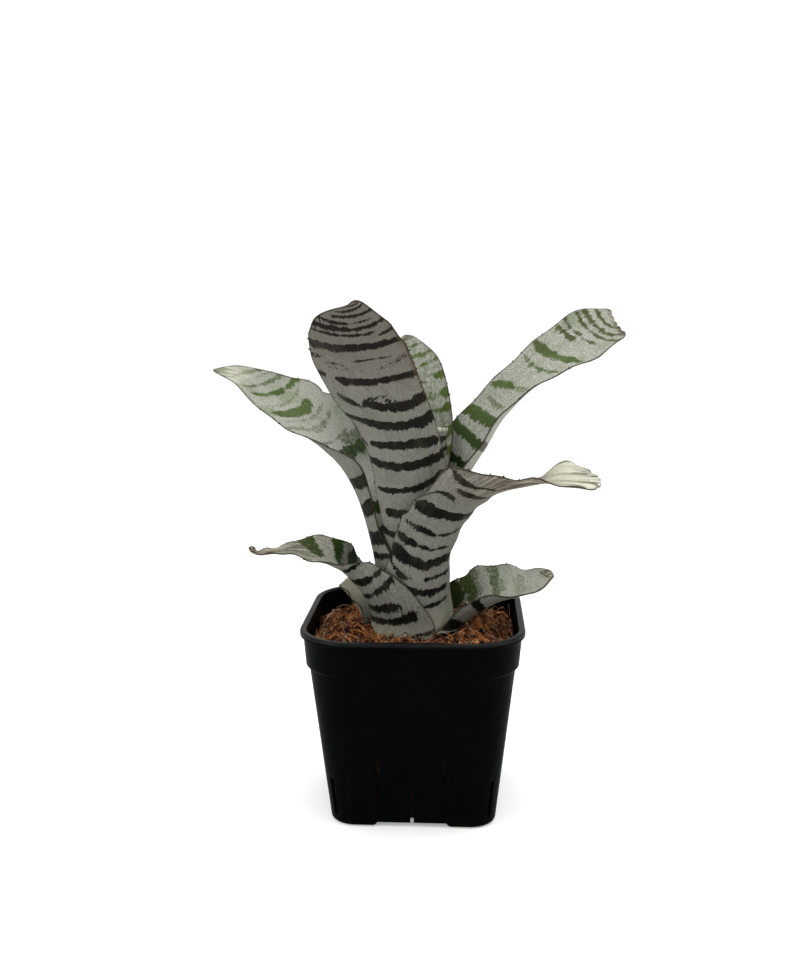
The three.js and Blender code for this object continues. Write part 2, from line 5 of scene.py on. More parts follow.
import bpy
import numpy as np
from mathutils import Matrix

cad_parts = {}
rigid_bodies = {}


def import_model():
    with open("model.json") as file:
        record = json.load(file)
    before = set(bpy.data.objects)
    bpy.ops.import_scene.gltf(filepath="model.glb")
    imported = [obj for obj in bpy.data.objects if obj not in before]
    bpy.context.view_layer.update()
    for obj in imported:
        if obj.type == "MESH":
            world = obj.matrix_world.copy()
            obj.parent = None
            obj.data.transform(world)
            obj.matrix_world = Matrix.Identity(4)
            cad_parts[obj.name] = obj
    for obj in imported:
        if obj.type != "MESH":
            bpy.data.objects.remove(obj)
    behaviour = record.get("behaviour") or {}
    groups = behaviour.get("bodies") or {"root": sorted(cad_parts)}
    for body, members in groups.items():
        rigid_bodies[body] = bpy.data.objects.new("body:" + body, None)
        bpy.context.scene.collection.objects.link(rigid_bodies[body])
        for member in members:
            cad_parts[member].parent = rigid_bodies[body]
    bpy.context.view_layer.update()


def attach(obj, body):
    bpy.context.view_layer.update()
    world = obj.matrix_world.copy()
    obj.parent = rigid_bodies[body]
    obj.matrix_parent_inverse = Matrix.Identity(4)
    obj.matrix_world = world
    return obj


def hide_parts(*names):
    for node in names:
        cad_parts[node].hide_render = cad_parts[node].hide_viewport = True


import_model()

# Camera
# It stands 40 cm in front of the pot at the height of the topmost leaf, and looks a little down and
# to the left, as the photograph does.
PHOTO_HEIGHT = 960
FOCAL_LENGTH_IN_PIXELS = 1100
SENSOR = 36
CAMERA_PLACE = (0.0200, -0.3960, 0.1861)
CAMERA_ANGLES = (80.62, 0.39, 3.59)
camera_data = bpy.data.cameras.new("camera")
camera_data.sensor_width = SENSOR
camera_data.lens = SENSOR * FOCAL_LENGTH_IN_PIXELS / PHOTO_HEIGHT
camera = bpy.data.objects.new("camera", camera_data)
camera.location = CAMERA_PLACE
camera.rotation_euler = [math.radians(angle) for angle in CAMERA_ANGLES]
bpy.context.collection.objects.link(camera)
bpy.context.scene.camera = camera
bpy.context.scene.view_settings.view_transform = "Standard"


# Studio
# A plain white floor that rises into a white wall all round, under one broad soft lamp overhead, a
# smaller one at the left and a weak one at the right.
FLOOR_RADIUS = 1.5
WALL_CURVE = 0.7
WALL_HEIGHT = 2.0
FLOOR_BELOW = 0.0002
LAMPS = [
    ("overhead lamp", (0.10, 0.10, 1.25), 1.1, 13.0),
    ("left lamp", (-0.95, -0.55, 0.75), 0.6, 5.0),
    ("right lamp", (1.00, -0.35, 0.60), 0.7, 3.0),
]
LAMPS_AIM = (0.0, 0.0, 0.1)
ROOM_LIGHT = 0.55
FLOOR_GLOW, FLOOR_PATCHES = 0.3, 400
MM = 0.001


def colour(red, green, blue):
    """A screen colour, 0 to 255 a channel, as the linear light values that a shader takes."""
    channels = (red / 255, green / 255, blue / 255)
    light = [c / 12.92 if c < 0.0405 else ((c + 0.055) / 1.055) ** 2.4 for c in channels]
    return (*light, 1.0)


class Value:
    """A node's output in an expression: each operator adds the Math node that works it out."""

    def __init__(self, finish, socket):
        self.finish, self.socket = finish, socket

    def math(self, operation, *others):
        return self.finish.node("ShaderNodeMath", {"operation": operation}, [self, *others])

    def __add__(self, other):
        return self.math("ADD", other)

    def __sub__(self, other):
        return self.math("SUBTRACT", other)

    def __rsub__(self, other):
        return self * -1 + other

    def __mul__(self, other):
        return self.math("MULTIPLY", other)

    __radd__ = __add__
    __rmul__ = __mul__


class Finish:
    """A material: node() adds any node, with its settings first and then its sockets' values or links."""

    def __init__(self, name, **constants):
        self.material = bpy.data.materials.new(name)
        self.material.use_nodes = True
        self.nodes = self.material.node_tree.nodes
        self.shader = self.nodes["Principled BSDF"]
        self.set(**constants)

    def put(self, socket, value):
        if isinstance(value, Value):
            self.material.node_tree.links.new(value.socket, socket)
        else:
            socket.default_value = value

    def set(self, **sockets):
        """Sockets of the main shader, by their names in lower case with underscores."""
        names = {name.lower().replace(" ", "_"): name for name in self.shader.inputs.keys()}
        for key, value in sockets.items():
            self.put(self.shader.inputs[names[key]], value)

    def node(self, kind, settings=(), inputs=(), output=0):
        node = self.nodes.new(kind)
        for key, value in dict(settings).items():
            setattr(node, key, value)
        pairs = inputs.items() if isinstance(inputs, dict) else enumerate(inputs)
        for key, value in pairs:
            self.put(node.inputs[key], value)
        return Value(self, node.outputs[output])

    def mix(self, share, first, second):
        """The first colour where the share is 0 and the second where it is 1."""
        return self.node("ShaderNodeMix", {"data_type": "RGBA"}, {0: share, 6: first, 7: second}, output=2)

    def step(self, value, low, high):
        """0 below the low limit, 1 above the high one, and a smooth rise between them."""
        settings = {"interpolation_type": "SMOOTHSTEP"}
        return self.node("ShaderNodeMapRange", settings, [value, low, high, 0.0, 1.0])

    def noise(self, place, stretch=(1.0, 1.0, 1.0), detail=2.0, roughness=0.5):
        """Noise between 0 and 1 in a place multiplied by the stretch."""
        place = self.node("ShaderNodeVectorMath", {"operation": "MULTIPLY"}, [place, stretch])
        sockets = {"Vector": place, "Scale": 1.0, "Detail": detail, "Roughness": roughness}
        return self.node("ShaderNodeTexNoise", {}, sockets)

    def place(self, unit=1.0):
        """Object coordinates in millimetres, divided by the unit."""
        place = self.node("ShaderNodeTexCoord", output="Object")
        sockets = {0: place, "Scale": 1 / MM / unit}
        return self.node("ShaderNodeVectorMath", {"operation": "SCALE"}, sockets)

    def parts(self, vector):
        """The three components of a vector, as separate values."""
        split = self.node("ShaderNodeSeparateXYZ", {}, [vector]).socket.node
        return [Value(self, socket) for socket in split.outputs]

    def bump(self, height, distance):
        """Relief: the height times the distance in millimetres."""
        sockets = {"Height": height, "Distance": distance * MM, "Strength": 1.0}
        self.set(normal=self.node("ShaderNodeBump", {}, sockets))


def build(name, points, faces, materials, kinds=None):
    """A smooth mesh object of points in millimetres and of arrays of faces, each of one corner count.

    The kinds are the material numbers of the faces, array by array.
    """
    mesh = bpy.data.meshes.new(name)
    mesh.vertices.add(len(points))
    mesh.vertices.foreach_set("co", (points * MM).astype(np.float32).ravel())
    corners = np.concatenate([part.ravel() for part in faces])
    counts = np.concatenate([np.full(len(part), part.shape[1]) for part in faces])
    mesh.loops.add(len(corners))
    mesh.loops.foreach_set("vertex_index", corners.astype(np.int32))
    mesh.polygons.add(len(counts))
    mesh.polygons.foreach_set("loop_start", (np.cumsum(counts) - counts).astype(np.int32))
    mesh.polygons.foreach_set("use_smooth", np.ones(len(counts), bool))
    if kinds is not None:
        mesh.polygons.foreach_set("material_index", np.concatenate(kinds).astype(np.int32))
    mesh.update(calc_edges=True)
    for finish in materials:
        mesh.materials.append(finish.material)
    piece = bpy.data.objects.new(name, mesh)
    bpy.context.collection.objects.link(piece)
    return piece


def grid_faces(rows, columns, closed=True):
    """Four-cornered faces between the points of a grid. When closed, its last column meets the first."""
    row, column = np.meshgrid(np.arange(rows - 1), np.arange(columns - (not closed)), indexing="ij")
    start, ahead = row * columns + column, row * columns + (column + 1) % columns
    return np.stack([start, ahead, ahead + columns, start + columns], -1).reshape(-1, 4)


def turned(profile, count):
    """A profile of radius and height turned round Z: (r cos a, r sin a, z) for each of count angles a."""
    radius, height = np.array(profile).T
    angle = np.arange(count) * 2 * np.pi / count
    flat = radius[:, None, None] * np.stack([np.cos(angle), np.sin(angle)], -1)
    return np.concatenate([flat, np.broadcast_to(height[:, None, None], (len(height), count, 1))], -1)


bend = np.radians(np.linspace(-90, 0, 16))
curve = np.stack([FLOOR_RADIUS + WALL_CURVE * np.cos(bend), WALL_CURVE * (1 + np.sin(bend))], -1)
flat = [[0.001, 0], [FLOOR_RADIUS * 0.5, 0]]
profile = np.concatenate([flat, curve, [[FLOOR_RADIUS + WALL_CURVE, WALL_HEIGHT]]])
room = turned((profile - [0, FLOOR_BELOW]) / MM, 96)
white = Finish("white studio floor", roughness=0.9, specular_ior_level=0.1, emission_strength=FLOOR_GLOW)
patches = white.noise(white.place(FLOOR_PATCHES), detail=3)
white.set(
    base_color=white.mix(patches, colour(226, 226, 225), colour(232, 232, 231)),
    emission_color=colour(250, 250, 250),
)
middle_face = np.arange(room.shape[1])[None]
floor = build("studio_floor", room.reshape(-1, 3), [grid_faces(*room.shape[:2]), middle_face], [white])

world = bpy.data.worlds.new("room light")
world.use_nodes = True
world.node_tree.nodes["Background"].inputs["Color"].default_value = (1, 1, 1, 1)
world.node_tree.nodes["Background"].inputs["Strength"].default_value = ROOM_LIGHT
bpy.context.scene.world = world
for name, place, width, power in LAMPS:
    lamp_data = bpy.data.lights.new(name, "AREA")
    lamp_data.size = width
    lamp_data.energy = power
    lamp = bpy.data.objects.new(name, lamp_data)
    lamp.location = place
    direction = np.array(place) - LAMPS_AIM
    lamp.rotation_euler = (
        math.atan2(math.hypot(direction[0], direction[1]), direction[2]), 0.0,
        math.atan2(direction[1], direction[0]) + math.pi / 2,
    )
    bpy.context.collection.objects.link(lamp)


# Pot
# A square nursery pot, moulded in one shot of thin black polypropylene: tapered sides with round corners,
# a stepped band and a rolled lip at the top, and slots, slits and notches near the foot that let air and
# water through.
RIM_HALF, RIM_CORNER, POT_HEIGHT = 40.0, 20.0, 71.0
LIP_HEIGHT, LIP_OVERHANG, LIP_GAP = 2.4, 1.2, 0.2
LIP_UNDER_ROUND, LIP_TOP_ROUND, MOUTH_ROUND = 0.7, 0.8, 0.6
BAND_TOP_HALF, BAND_TOP_CORNER = RIM_HALF - LIP_OVERHANG, RIM_CORNER - LIP_OVERHANG
BAND_HALF, BAND_CORNER = BAND_TOP_HALF - 1.0, 16.3
BODY_TOP, BODY_HALF, BODY_CORNER = 57.2, 36.5, 15.0
BASE_HALF, BASE_CORNER = 29.7, 9.2
STEP_RISE, INNER_STEP_HIGH, INNER_STEP_LOW = 1.6, 2.6, 0.5
WALL, POT_FLOOR, FOOT_ROUND, FLOOR_ROUND = 1.2, 2.4, 1.4, 2.0
PANEL_HALF_WIDTH, PANEL_HEIGHT, PANEL_DEPTH = 12.4, 27.5, 0.45
SLOTS_AT, SLOT_WIDTH, SLOT_LOW, SLOT_HIGH = 11.6, 1.7, 20.0, 26.5
SLIT_WIDTH, SLIT_LOW = 0.8, 3.4
CENTRE_SLIT_WIDTH, CENTRE_SLIT_HIGH = 1.3, 14.0
CORNER_SLOT_LOW, CORNER_SLOT_HIGH = 3.5, 17.5
NOTCH_HALF_WIDTH, NOTCH_HEIGHT = 14.9, 1.5
DRAIN_RADIUS, DRAINS_AT, DRAIN_SIDES = 3.0, 15.0, 28
EDGE_BEVEL = 0.18
LIP_SHEEN_FROM, LIP_SHEEN_TO = 69.4, 70.6
CORNER_STEPS = 14


def rounded_squares(half, corner, height):
    """Rings round squares with round corners: each corner's centre plus a quarter turn of its radius.

    Half widths, corner radii and heights are arrays, one value for each ring.
    """
    quarter = np.radians(np.repeat(45 + 90 * np.arange(4), CORNER_STEPS + 1))
    angle = quarter + np.radians(np.tile(np.linspace(-45, 45, CORNER_STEPS + 1), 4))
    reach = (half - corner)[:, None] * math.sqrt(2)
    x = reach * np.cos(quarter) + corner[:, None] * np.cos(angle)
    y = reach * np.sin(quarter) + corner[:, None] * np.sin(angle)
    return np.stack([x, y, np.broadcast_to(height[:, None], x.shape)], -1)


def body_section(height):
    """Half width and corner radius of the tapered body at a height, straight from foot to band."""
    share = height / BODY_TOP
    corner = BASE_CORNER + (BODY_CORNER - BASE_CORNER) * share
    return BASE_HALF + (BODY_HALF - BASE_HALF) * share, corner


def pot_profile():
    """Rows of half width, corner radius and height, up the outside, over the lip and down the inside.

    The foot, the lip's two edges and the inner corner are quarter rounds, and the step is a smooth rise.
    """
    quarter = np.radians(np.linspace(0, 90, 6))
    rise = np.linspace(0, 1, 7)
    smooth = rise * rise * (3 - 2 * rise)

    def rows(half, corner, height):
        return np.stack(np.broadcast_arrays(half, corner, height), -1)

    def rounding(half, corner, height, radius, start, sweep):
        """A quarter round about a centre that is the radius inside the half width and the height."""
        turn = np.radians(start) + sweep * quarter
        inset = radius * (1 - np.cos(turn))
        return rows(half - inset, corner - inset, height + radius * np.sin(turn))

    foot_half, foot_corner = body_section(FOOT_ROUND)
    sides = np.linspace(FOOT_ROUND, BODY_TOP, 9)[1:]
    lip_low = POT_HEIGHT - LIP_HEIGHT
    outside = [
        rounding(foot_half, foot_corner, FOOT_ROUND, FOOT_ROUND, -90, 1),
        rows(*body_section(sides), sides),
        rows(BODY_HALF + (BAND_HALF - BODY_HALF) * smooth,
             BODY_CORNER + (BAND_CORNER - BODY_CORNER) * smooth, BODY_TOP + STEP_RISE * rise)[1:],
        rows(BAND_TOP_HALF, BAND_TOP_CORNER, np.array([lip_low - LIP_GAP])),
        rounding(RIM_HALF, RIM_CORNER, lip_low + LIP_UNDER_ROUND, LIP_UNDER_ROUND, -90, 1),
        rounding(RIM_HALF, RIM_CORNER, POT_HEIGHT - LIP_TOP_ROUND, LIP_TOP_ROUND, 0, 1),
    ]
    mouth_half, mouth_corner = BAND_TOP_HALF - WALL, BAND_TOP_CORNER - WALL
    edge = MOUTH_ROUND * (1 - np.sin(quarter))
    edge_height = POT_HEIGHT - MOUTH_ROUND * (1 - np.cos(quarter))
    inner_sides = np.linspace(BODY_TOP + INNER_STEP_LOW, POT_FLOOR + FLOOR_ROUND, 8)
    inner_half, inner_corner = body_section(inner_sides)
    last_half, last_corner = body_section(POT_FLOOR + FLOOR_ROUND)
    inset = WALL + FLOOR_ROUND * (1 - np.cos(quarter))
    inside = [
        rows(mouth_half + edge, mouth_corner + edge, edge_height),
        rows(mouth_half, mouth_corner, np.array([lip_low])),
        rows(BAND_HALF + (BODY_HALF - BAND_HALF) * smooth - WALL,
             BAND_CORNER + (BODY_CORNER - BAND_CORNER) * smooth - WALL,
             BODY_TOP + INNER_STEP_HIGH - (INNER_STEP_HIGH - INNER_STEP_LOW) * rise),
        rows(inner_half - WALL, inner_corner - WALL, inner_sides)[1:],
        rows(last_half - inset, last_corner - inset, POT_FLOOR + FLOOR_ROUND * (1 - np.sin(quarter)))[1:],
    ]
    return np.concatenate(outside + inside)


def prisms(outlines, near, far):
    """Flat outlines in X and Z, listed against the clock from the front and carried along Y."""
    points, faces = [], []
    for outline in outlines:
        first, count = sum(len(part) for part in points), len(outline)
        ring = np.insert(np.array(outline, float), 1, 0, axis=1)
        points.append(np.concatenate([ring + [0, near, 0], ring + [0, far, 0]]))
        ends = np.arange(count)
        sides = grid_faces(2, count)[:, ::-1]
        faces += [list(side + first) for side in sides]
        faces += [list(ends + first), list(ends[::-1] + first + count)]
    return np.concatenate(points), faces


def tool(name, parts):
    """A cutting tool: parts of points and faces, set on all four sides of the pot."""
    points, faces, total = [], [], 0
    for turn in range(4):
        spin = np.linalg.matrix_power(np.array([[0, -1, 0], [1, 0, 0], [0, 0, 1]]), turn)
        for place, sides in parts:
            points.append(place @ spin.T)
            faces += [[corner + total for corner in side] for side in sides]
            total += len(place)
    mesh = bpy.data.meshes.new(name)
    mesh.from_pydata((np.concatenate(points) * MM).tolist(), [], faces)
    mesh.update()
    cutter = bpy.data.objects.new(name, mesh)
    bpy.context.collection.objects.link(cutter)
    return cutter


def opening(x, width, low, high):
    """A rectangle in X and Z about a centre line."""
    return [(x - width / 2, low), (x + width / 2, low), (x + width / 2, high), (x - width / 2, high)]


def pot_tools():
    """Three cutting tools: for the slots and drains, for the slits and notches, and for the panels.

    Long slots with slits below them, a centre slit, a foot notch and a shallow panel are cut in the front,
    a slot is cut in one corner, and every tool is turned round to the other three sides.
    """
    near, middle, below = -RIM_HALF - 1, -RIM_HALF / 2, -1
    slots = [opening(x, SLOT_WIDTH, SLOT_LOW, SLOT_HIGH) for x in (-SLOTS_AT, SLOTS_AT)]
    slots.append(opening(0, CENTRE_SLIT_WIDTH, below, CENTRE_SLIT_HIGH))
    slits = [opening(x, SLIT_WIDTH, SLIT_LOW, SLOT_LOW + 1) for x in (-SLOTS_AT, SLOTS_AT)]
    notch = [(-NOTCH_HALF_WIDTH, below), (NOTCH_HALF_WIDTH, below),
             (PANEL_HALF_WIDTH, NOTCH_HEIGHT), (-PANEL_HALF_WIDTH, NOTCH_HEIGHT)]
    corner_slot = opening(0, SLOT_WIDTH, CORNER_SLOT_LOW, CORNER_SLOT_HIGH)
    corner_points, corner_sides = prisms([corner_slot], -BASE_HALF - 16, -BASE_HALF)
    diagonal = math.sqrt(0.5)
    corner_turn = np.array([[diagonal, diagonal, 0], [-diagonal, diagonal, 0], [0, 0, 1]])
    drain_profile = [(DRAIN_RADIUS, below), (DRAIN_RADIUS, 2 * DRAIN_RADIUS)]
    drain = turned(drain_profile, DRAIN_SIDES).reshape(-1, 3) + [0, -DRAINS_AT, 0]
    drain_ends = [list(range(DRAIN_SIDES))[::-1], list(range(DRAIN_SIDES, 2 * DRAIN_SIDES))]
    drain_sides = grid_faces(2, DRAIN_SIDES).tolist() + drain_ends
    panel_low = (-body_section(below)[0] + PANEL_DEPTH, below)
    panel_high = (-body_section(PANEL_HEIGHT)[0] + PANEL_DEPTH, PANEL_HEIGHT)
    panel = np.array([(-RIM_HALF - 5, below), panel_low, panel_high, (-RIM_HALF - 5, PANEL_HEIGHT)])
    panel_points, panel_sides = prisms([panel[::-1]], -PANEL_HALF_WIDTH, PANEL_HALF_WIDTH)
    corner_part = (corner_points @ corner_turn, corner_sides)
    return [
        tool("slot tool", [prisms(slots, near, middle), corner_part, (drain, drain_sides)]),
        tool("slit tool", [prisms(slits, near, middle), prisms([notch], near, -BASE_HALF + 12)]),
        tool("panel tool", [(panel_points[:, [1, 0, 2]], panel_sides)]),
    ]


def settle(piece):
    """Puts the shape that a piece's modifiers give it into its mesh."""
    graph = bpy.context.evaluated_depsgraph_get()
    mesh = bpy.data.meshes.new_from_object(piece.evaluated_get(graph))
    piece.modifiers.clear()
    piece.data = mesh


black = Finish("black polypropylene", specular_ior_level=0.01, coat_roughness=0.3)
spot = black.place()
film = black.noise(spot, (0.05, 0.05, 0.03), detail=4, roughness=0.6)
scuffs = black.noise(spot, (1.6, 1.6, 0.09), detail=3)
grain = black.noise(spot, (5, 5, 5), detail=2)
height = black.parts(spot)[2]
black.set(
    base_color=black.mix(film, colour(0, 2, 1), colour(3, 6, 5)),
    roughness=0.34 + film * 0.12 + scuffs * 0.06,
    coat_weight=black.step(height, LIP_SHEEN_FROM, LIP_SHEEN_TO) * 0.25,
)
black.bump(grain * 0.5 + scuffs * 0.5, 0.03)

rows = pot_profile()
rings = rounded_squares(*rows.T)
ring_size = rings.shape[1]
foot = np.arange(ring_size)[None, ::-1]
inner_floor = np.arange(ring_size)[None] + rings[:-1].size // 3
skin = grid_faces(*rings.shape[:2])
pot = build("nursery_pot", rings.reshape(-1, 3), [skin, foot, inner_floor], [black])
for cutter in pot_tools():
    cut = pot.modifiers.new(cutter.name, "BOOLEAN")
    cut.operation = "DIFFERENCE"
    cut.solver = "EXACT"
    cut.object = cutter
edges = pot.modifiers.new("soft edges", "BEVEL")
edges.width = EDGE_BEVEL * MM
edges.segments = 2
edges.angle_limit = math.radians(40)
settle(pot)
for cutter in [piece for piece in bpy.data.objects if piece.name.endswith(" tool")]:
    bpy.data.objects.remove(cutter)
pot.data.set_sharp_from_angle(angle=math.radians(35))
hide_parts("pot")
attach(pot, "root")


# Growing medium
# Coconut husk, packed in by hand: dark crumb below, torn chips on top, and coarse red-brown fibres that
# stand up round the plant and curl over the lip here and there.
MEDIUM_LEVEL, MOUND, MOUND_RADIUS = 60.5, 3.5, 26.0
WALL_GAP, CRUMB_DEPTH = 0.4, 1.2
HUSK_INNER, HUSK_OUTER = 13.0, 42.0
CHIPS, FIBRES, HAIRS = 640, 2300, 240
STRAND_POINTS = 8
LOOP_RADIUS, LOOP_LIFT = 0.14, 0.8
rng = np.random.default_rng(11)

# A heap is its middle's x and y, its height and its radius. A loop is its middle's x and y, its radius, the
# angle where it starts and the angle it turns through, and how high it stands.
HEAPS = [(22, 1, 7, 9), (-26, -12, 4, 8), (26, -20, 2, 8), (8, -26, 1.5, 7)]
LOOPS = [
    (-27, -24, 8, 100, 190, 1.5), (-24, -27, 6, 150, 130, 1.2), (28, -8, 7, -60, 150, 1.8),
    (29, 2, 6.5, -90, 160, 1.5), (-20, -30, 9, 200, 110, 1.2), (12, -32, 8, 190, 130, 1),
]


def medium_height(x, y):
    """Level ground, plus a flat-topped mound round the plant, two slow waves and the heaps."""
    r = np.hypot(x, y)
    waves = 0.7 * np.sin(0.42 * x + 1.3) * np.cos(0.37 * y) + 0.5 * np.sin(0.8 * (x + y))
    height = MEDIUM_LEVEL + MOUND * np.exp(-(r / MOUND_RADIUS) ** 4) + waves
    for heap_x, heap_y, rise, radius in HEAPS:
        height = height + rise * np.exp(-((x - heap_x) ** 2 + (y - heap_y) ** 2) / radius ** 2)
    return height


def inside_pot(x, y, margin):
    """Points moved towards the middle where they are past the pot's inner wall, less a margin."""
    half, corner = BAND_HALF - WALL - margin, BAND_CORNER - WALL
    over_x = np.maximum(np.abs(x) - (half - corner), 0)
    over_y = np.maximum(np.abs(y) - (half - corner), 0)
    reach = np.hypot(over_x, over_y)
    pull = np.where(reach > corner, corner / np.maximum(reach, 1e-6), 1)
    x = np.where(over_x > 0, np.sign(x) * (half - corner + over_x * pull), x)
    y = np.where(over_y > 0, np.sign(y) * (half - corner + over_y * pull), y)
    return x, y


def medium_bulk():
    """The ground in rings from the middle to the wall, then straight down along the pot to its floor."""
    share = np.linspace(0.02, 1, 44)
    half, corner = BAND_HALF - WALL - WALL_GAP, BAND_CORNER - WALL - WALL_GAP
    top = rounded_squares(half * share, corner * share, 0 * share)
    x, y = top[..., 0], top[..., 1]
    lumps = np.sin(1.9 * x + np.sin(1.3 * y)) * np.sin(1.7 * y + 0.6 * x)
    lumps = lumps + 0.6 * np.sin(3.7 * x) * np.sin(4.1 * y)
    top[..., 2] = medium_height(x, y) + 0.6 * lumps - CRUMB_DEPTH
    depth = np.linspace(BODY_TOP, POT_FLOOR + 0.5, 12)
    down_half, down_corner = body_section(depth)
    inset = WALL + WALL_GAP
    walls = rounded_squares(down_half - inset, down_corner - inset, depth)
    return np.concatenate([top, walls])


def strands(lines, radius, sides, flat=1.0):
    """Closed strands along centre lines, all at once.

    Each line is swept by a ring of points, radius times (cos a across + flat sin a upwards), which
    stands square to the line's direction. Both end rings are closed by a face.
    """
    count, steps = lines.shape[:2]
    ahead = np.gradient(lines, axis=1)
    ahead /= np.linalg.norm(ahead, axis=2, keepdims=True) + 1e-9
    up = np.array([0.13, 0.21, 0.97])
    across = np.cross(ahead, up)
    across /= np.linalg.norm(across, axis=2, keepdims=True) + 1e-9
    lift = np.cross(across, ahead)
    angle = np.arange(sides) * 2 * np.pi / sides
    ring = across[:, :, None] * np.cos(angle)[:, None]
    ring = ring + flat * lift[:, :, None] * np.sin(angle)[:, None]
    points = lines[:, :, None] + ring * radius[:, :, None, None]
    starts = (np.arange(count) * steps * sides)[:, None, None]
    body = (starts + grid_faces(steps, sides)[None]).reshape(-1, 4)
    ends = np.arange(sides)
    caps = np.concatenate([starts[:, 0] + ends[::-1], starts[:, 0] + (steps - 1) * sides + ends])
    return points.reshape(-1, 3), body, caps


def scattered(count, length, rise, curl, lift, margin):
    """Centre lines of loose fibres: an arc in plan that starts at a random place on the ground.

    The heading turns by the curl along the way, and the height is the ground's plus a hump and a slope.
    """
    steps = np.linspace(0, 1, STRAND_POINTS)
    turn = rng.uniform(0, 2 * np.pi, count)
    radius = np.sqrt(rng.uniform(HUSK_INNER ** 2, HUSK_OUTER ** 2, count))
    x, y = radius * np.cos(turn), radius * np.sin(turn)
    span = length * rng.uniform(0.45, 1.3, count)
    heading = rng.uniform(0, 2 * np.pi, count)[:, None]
    heading = heading + (curl * rng.normal(0, 1, count))[:, None] * steps
    x = x[:, None] + span[:, None] * np.cumsum(np.cos(heading), 1) / len(steps)
    y = y[:, None] + span[:, None] * np.cumsum(np.sin(heading), 1) / len(steps)
    x, y = inside_pot(x, y, margin)
    hump = (rise * rng.gamma(1.5, 0.5, count))[:, None] * np.sin(np.pi * steps)
    slope = (rise * rng.normal(0, 0.6, count))[:, None] * (steps - 0.3)
    z = medium_height(x, y) + hump + slope + rng.normal(lift, 0.5, count)[:, None]
    return np.stack([x, y, z], -1)


crumb = Finish("husk crumb", roughness=0.95, specular_ior_level=0.1)
spot = crumb.place()
lumps = crumb.noise(spot, (1.1, 1.1, 1.1), detail=4, roughness=0.7)
crumb.set(base_color=crumb.mix(crumb.step(lumps, 0.35, 0.7), colour(5, 3, 2), colour(30, 16, 9)))
crumb.bump(lumps, 0.8)


def husk_finish(name, dark, middle, light):
    """Husk whose colour changes from piece to piece and in thin streaks along each piece."""
    husk = Finish(name, roughness=0.8, specular_ior_level=0.2)
    spot = husk.place()
    tone = husk.noise(spot, (0.3, 0.3, 0.3), detail=2, roughness=0.7)
    streak = husk.noise(spot, (1.4, 1.4, 1.4), detail=3, roughness=0.6)
    base = husk.mix(husk.step(tone, 0.38, 0.58), dark, middle)
    gold = husk.noise(spot, (0.21, 0.21, 0.33), detail=1)
    base = husk.mix(husk.step(gold, 0.53, 0.6) * 0.6, base, colour(150, 92, 42))
    husk.set(base_color=husk.mix(husk.step(tone * 0.6 + streak * 0.5, 0.55, 0.72), base, light))
    husk.bump(streak, 0.15)
    return husk


chip_finish = husk_finish("torn husk", colour(30, 10, 4), colour(110, 60, 32), colour(204, 144, 88))
fibre_finish = husk_finish("husk fibre", colour(38, 12, 5), colour(112, 60, 34), colour(214, 156, 104))
hair_finish = husk_finish("husk hair", colour(104, 80, 62), colour(158, 136, 114), colour(204, 190, 170))

bulk = medium_bulk()
sides = grid_faces(*bulk.shape[:2])[:, ::-1]
middle = np.arange(bulk.shape[1])[None]
bottom = middle[:, ::-1] + bulk[:-1].size // 3
ground = build("medium_bulk", bulk.reshape(-1, 3), [sides, middle, bottom], [crumb])

s = np.linspace(0, 1, STRAND_POINTS)
lines = scattered(CHIPS, length=10.0, rise=1.1, curl=0.6, lift=0.2, margin=1.4)
spindle = np.sqrt(np.sin(np.pi * np.linspace(0.06, 0.94, STRAND_POINTS)))
swell = spindle * rng.uniform(0.4, 1.5, (CHIPS, 1))
swell = swell * (1 + 0.25 * rng.normal(0, 1, (CHIPS, STRAND_POINTS))).clip(0.4)
points, body, caps = strands(lines, swell, sides=6, flat=0.42)
chips = build("husk_chips", points, [body, caps], [chip_finish])

lines = scattered(FIBRES, length=11.0, rise=1.7, curl=0.9, lift=0.7, margin=0.8)
swell = (1 - 0.75 * s ** 2) * rng.uniform(0.1, 0.3, (FIBRES, 1))
points, body, caps = strands(lines, swell, sides=4)
fibres = build("husk_fibres", points, [body, caps], [fibre_finish])

lines = scattered(HAIRS, length=15.0, rise=2.4, curl=1.1, lift=1.0, margin=0.6)
swell = (1 - 0.6 * s) * rng.uniform(0.09, 0.16, (HAIRS, 1))
for x, y, radius, start, sweep, rise in LOOPS:
    angle = np.radians(start + sweep * s)
    loop_x, loop_y = inside_pot(x + radius * np.cos(angle), y + radius * np.sin(angle), 0.6)
    loop_z = medium_height(loop_x, loop_y) + LOOP_LIFT + rise * np.sin(np.pi * s)
    lines = np.concatenate([lines, np.stack([loop_x, loop_y, loop_z], -1)[None]])
    swell = np.concatenate([swell, LOOP_RADIUS + 0 * s[None]])
points, body, caps = strands(lines, swell, sides=4)
hairs = build("husk_hairs", points, [body, caps], [hair_finish])
for piece in (ground, chips, fibres, hairs):
    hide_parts("growing_medium")
    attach(piece, "root")


# Stem
# The short stock that carries the leaves, with root stubs in the husk. It is hidden in the cup of the
# leaves, so the modelled part stays and gets a corky brown skin.
cork = Finish("corky stock", roughness=0.85)
spot = cork.place()
plates = cork.noise(spot, (0.8, 0.8, 0.4), detail=4, roughness=0.65)
cork.set(base_color=cork.mix(cork.step(plates, 0.35, 0.65), colour(58, 42, 24), colour(126, 104, 68)))
cork.bump(plates, 0.5)
stem = next(piece for piece in bpy.data.objects if piece.name == "stem")
stem.data.materials.clear()
stem.data.materials.append(cork.material)


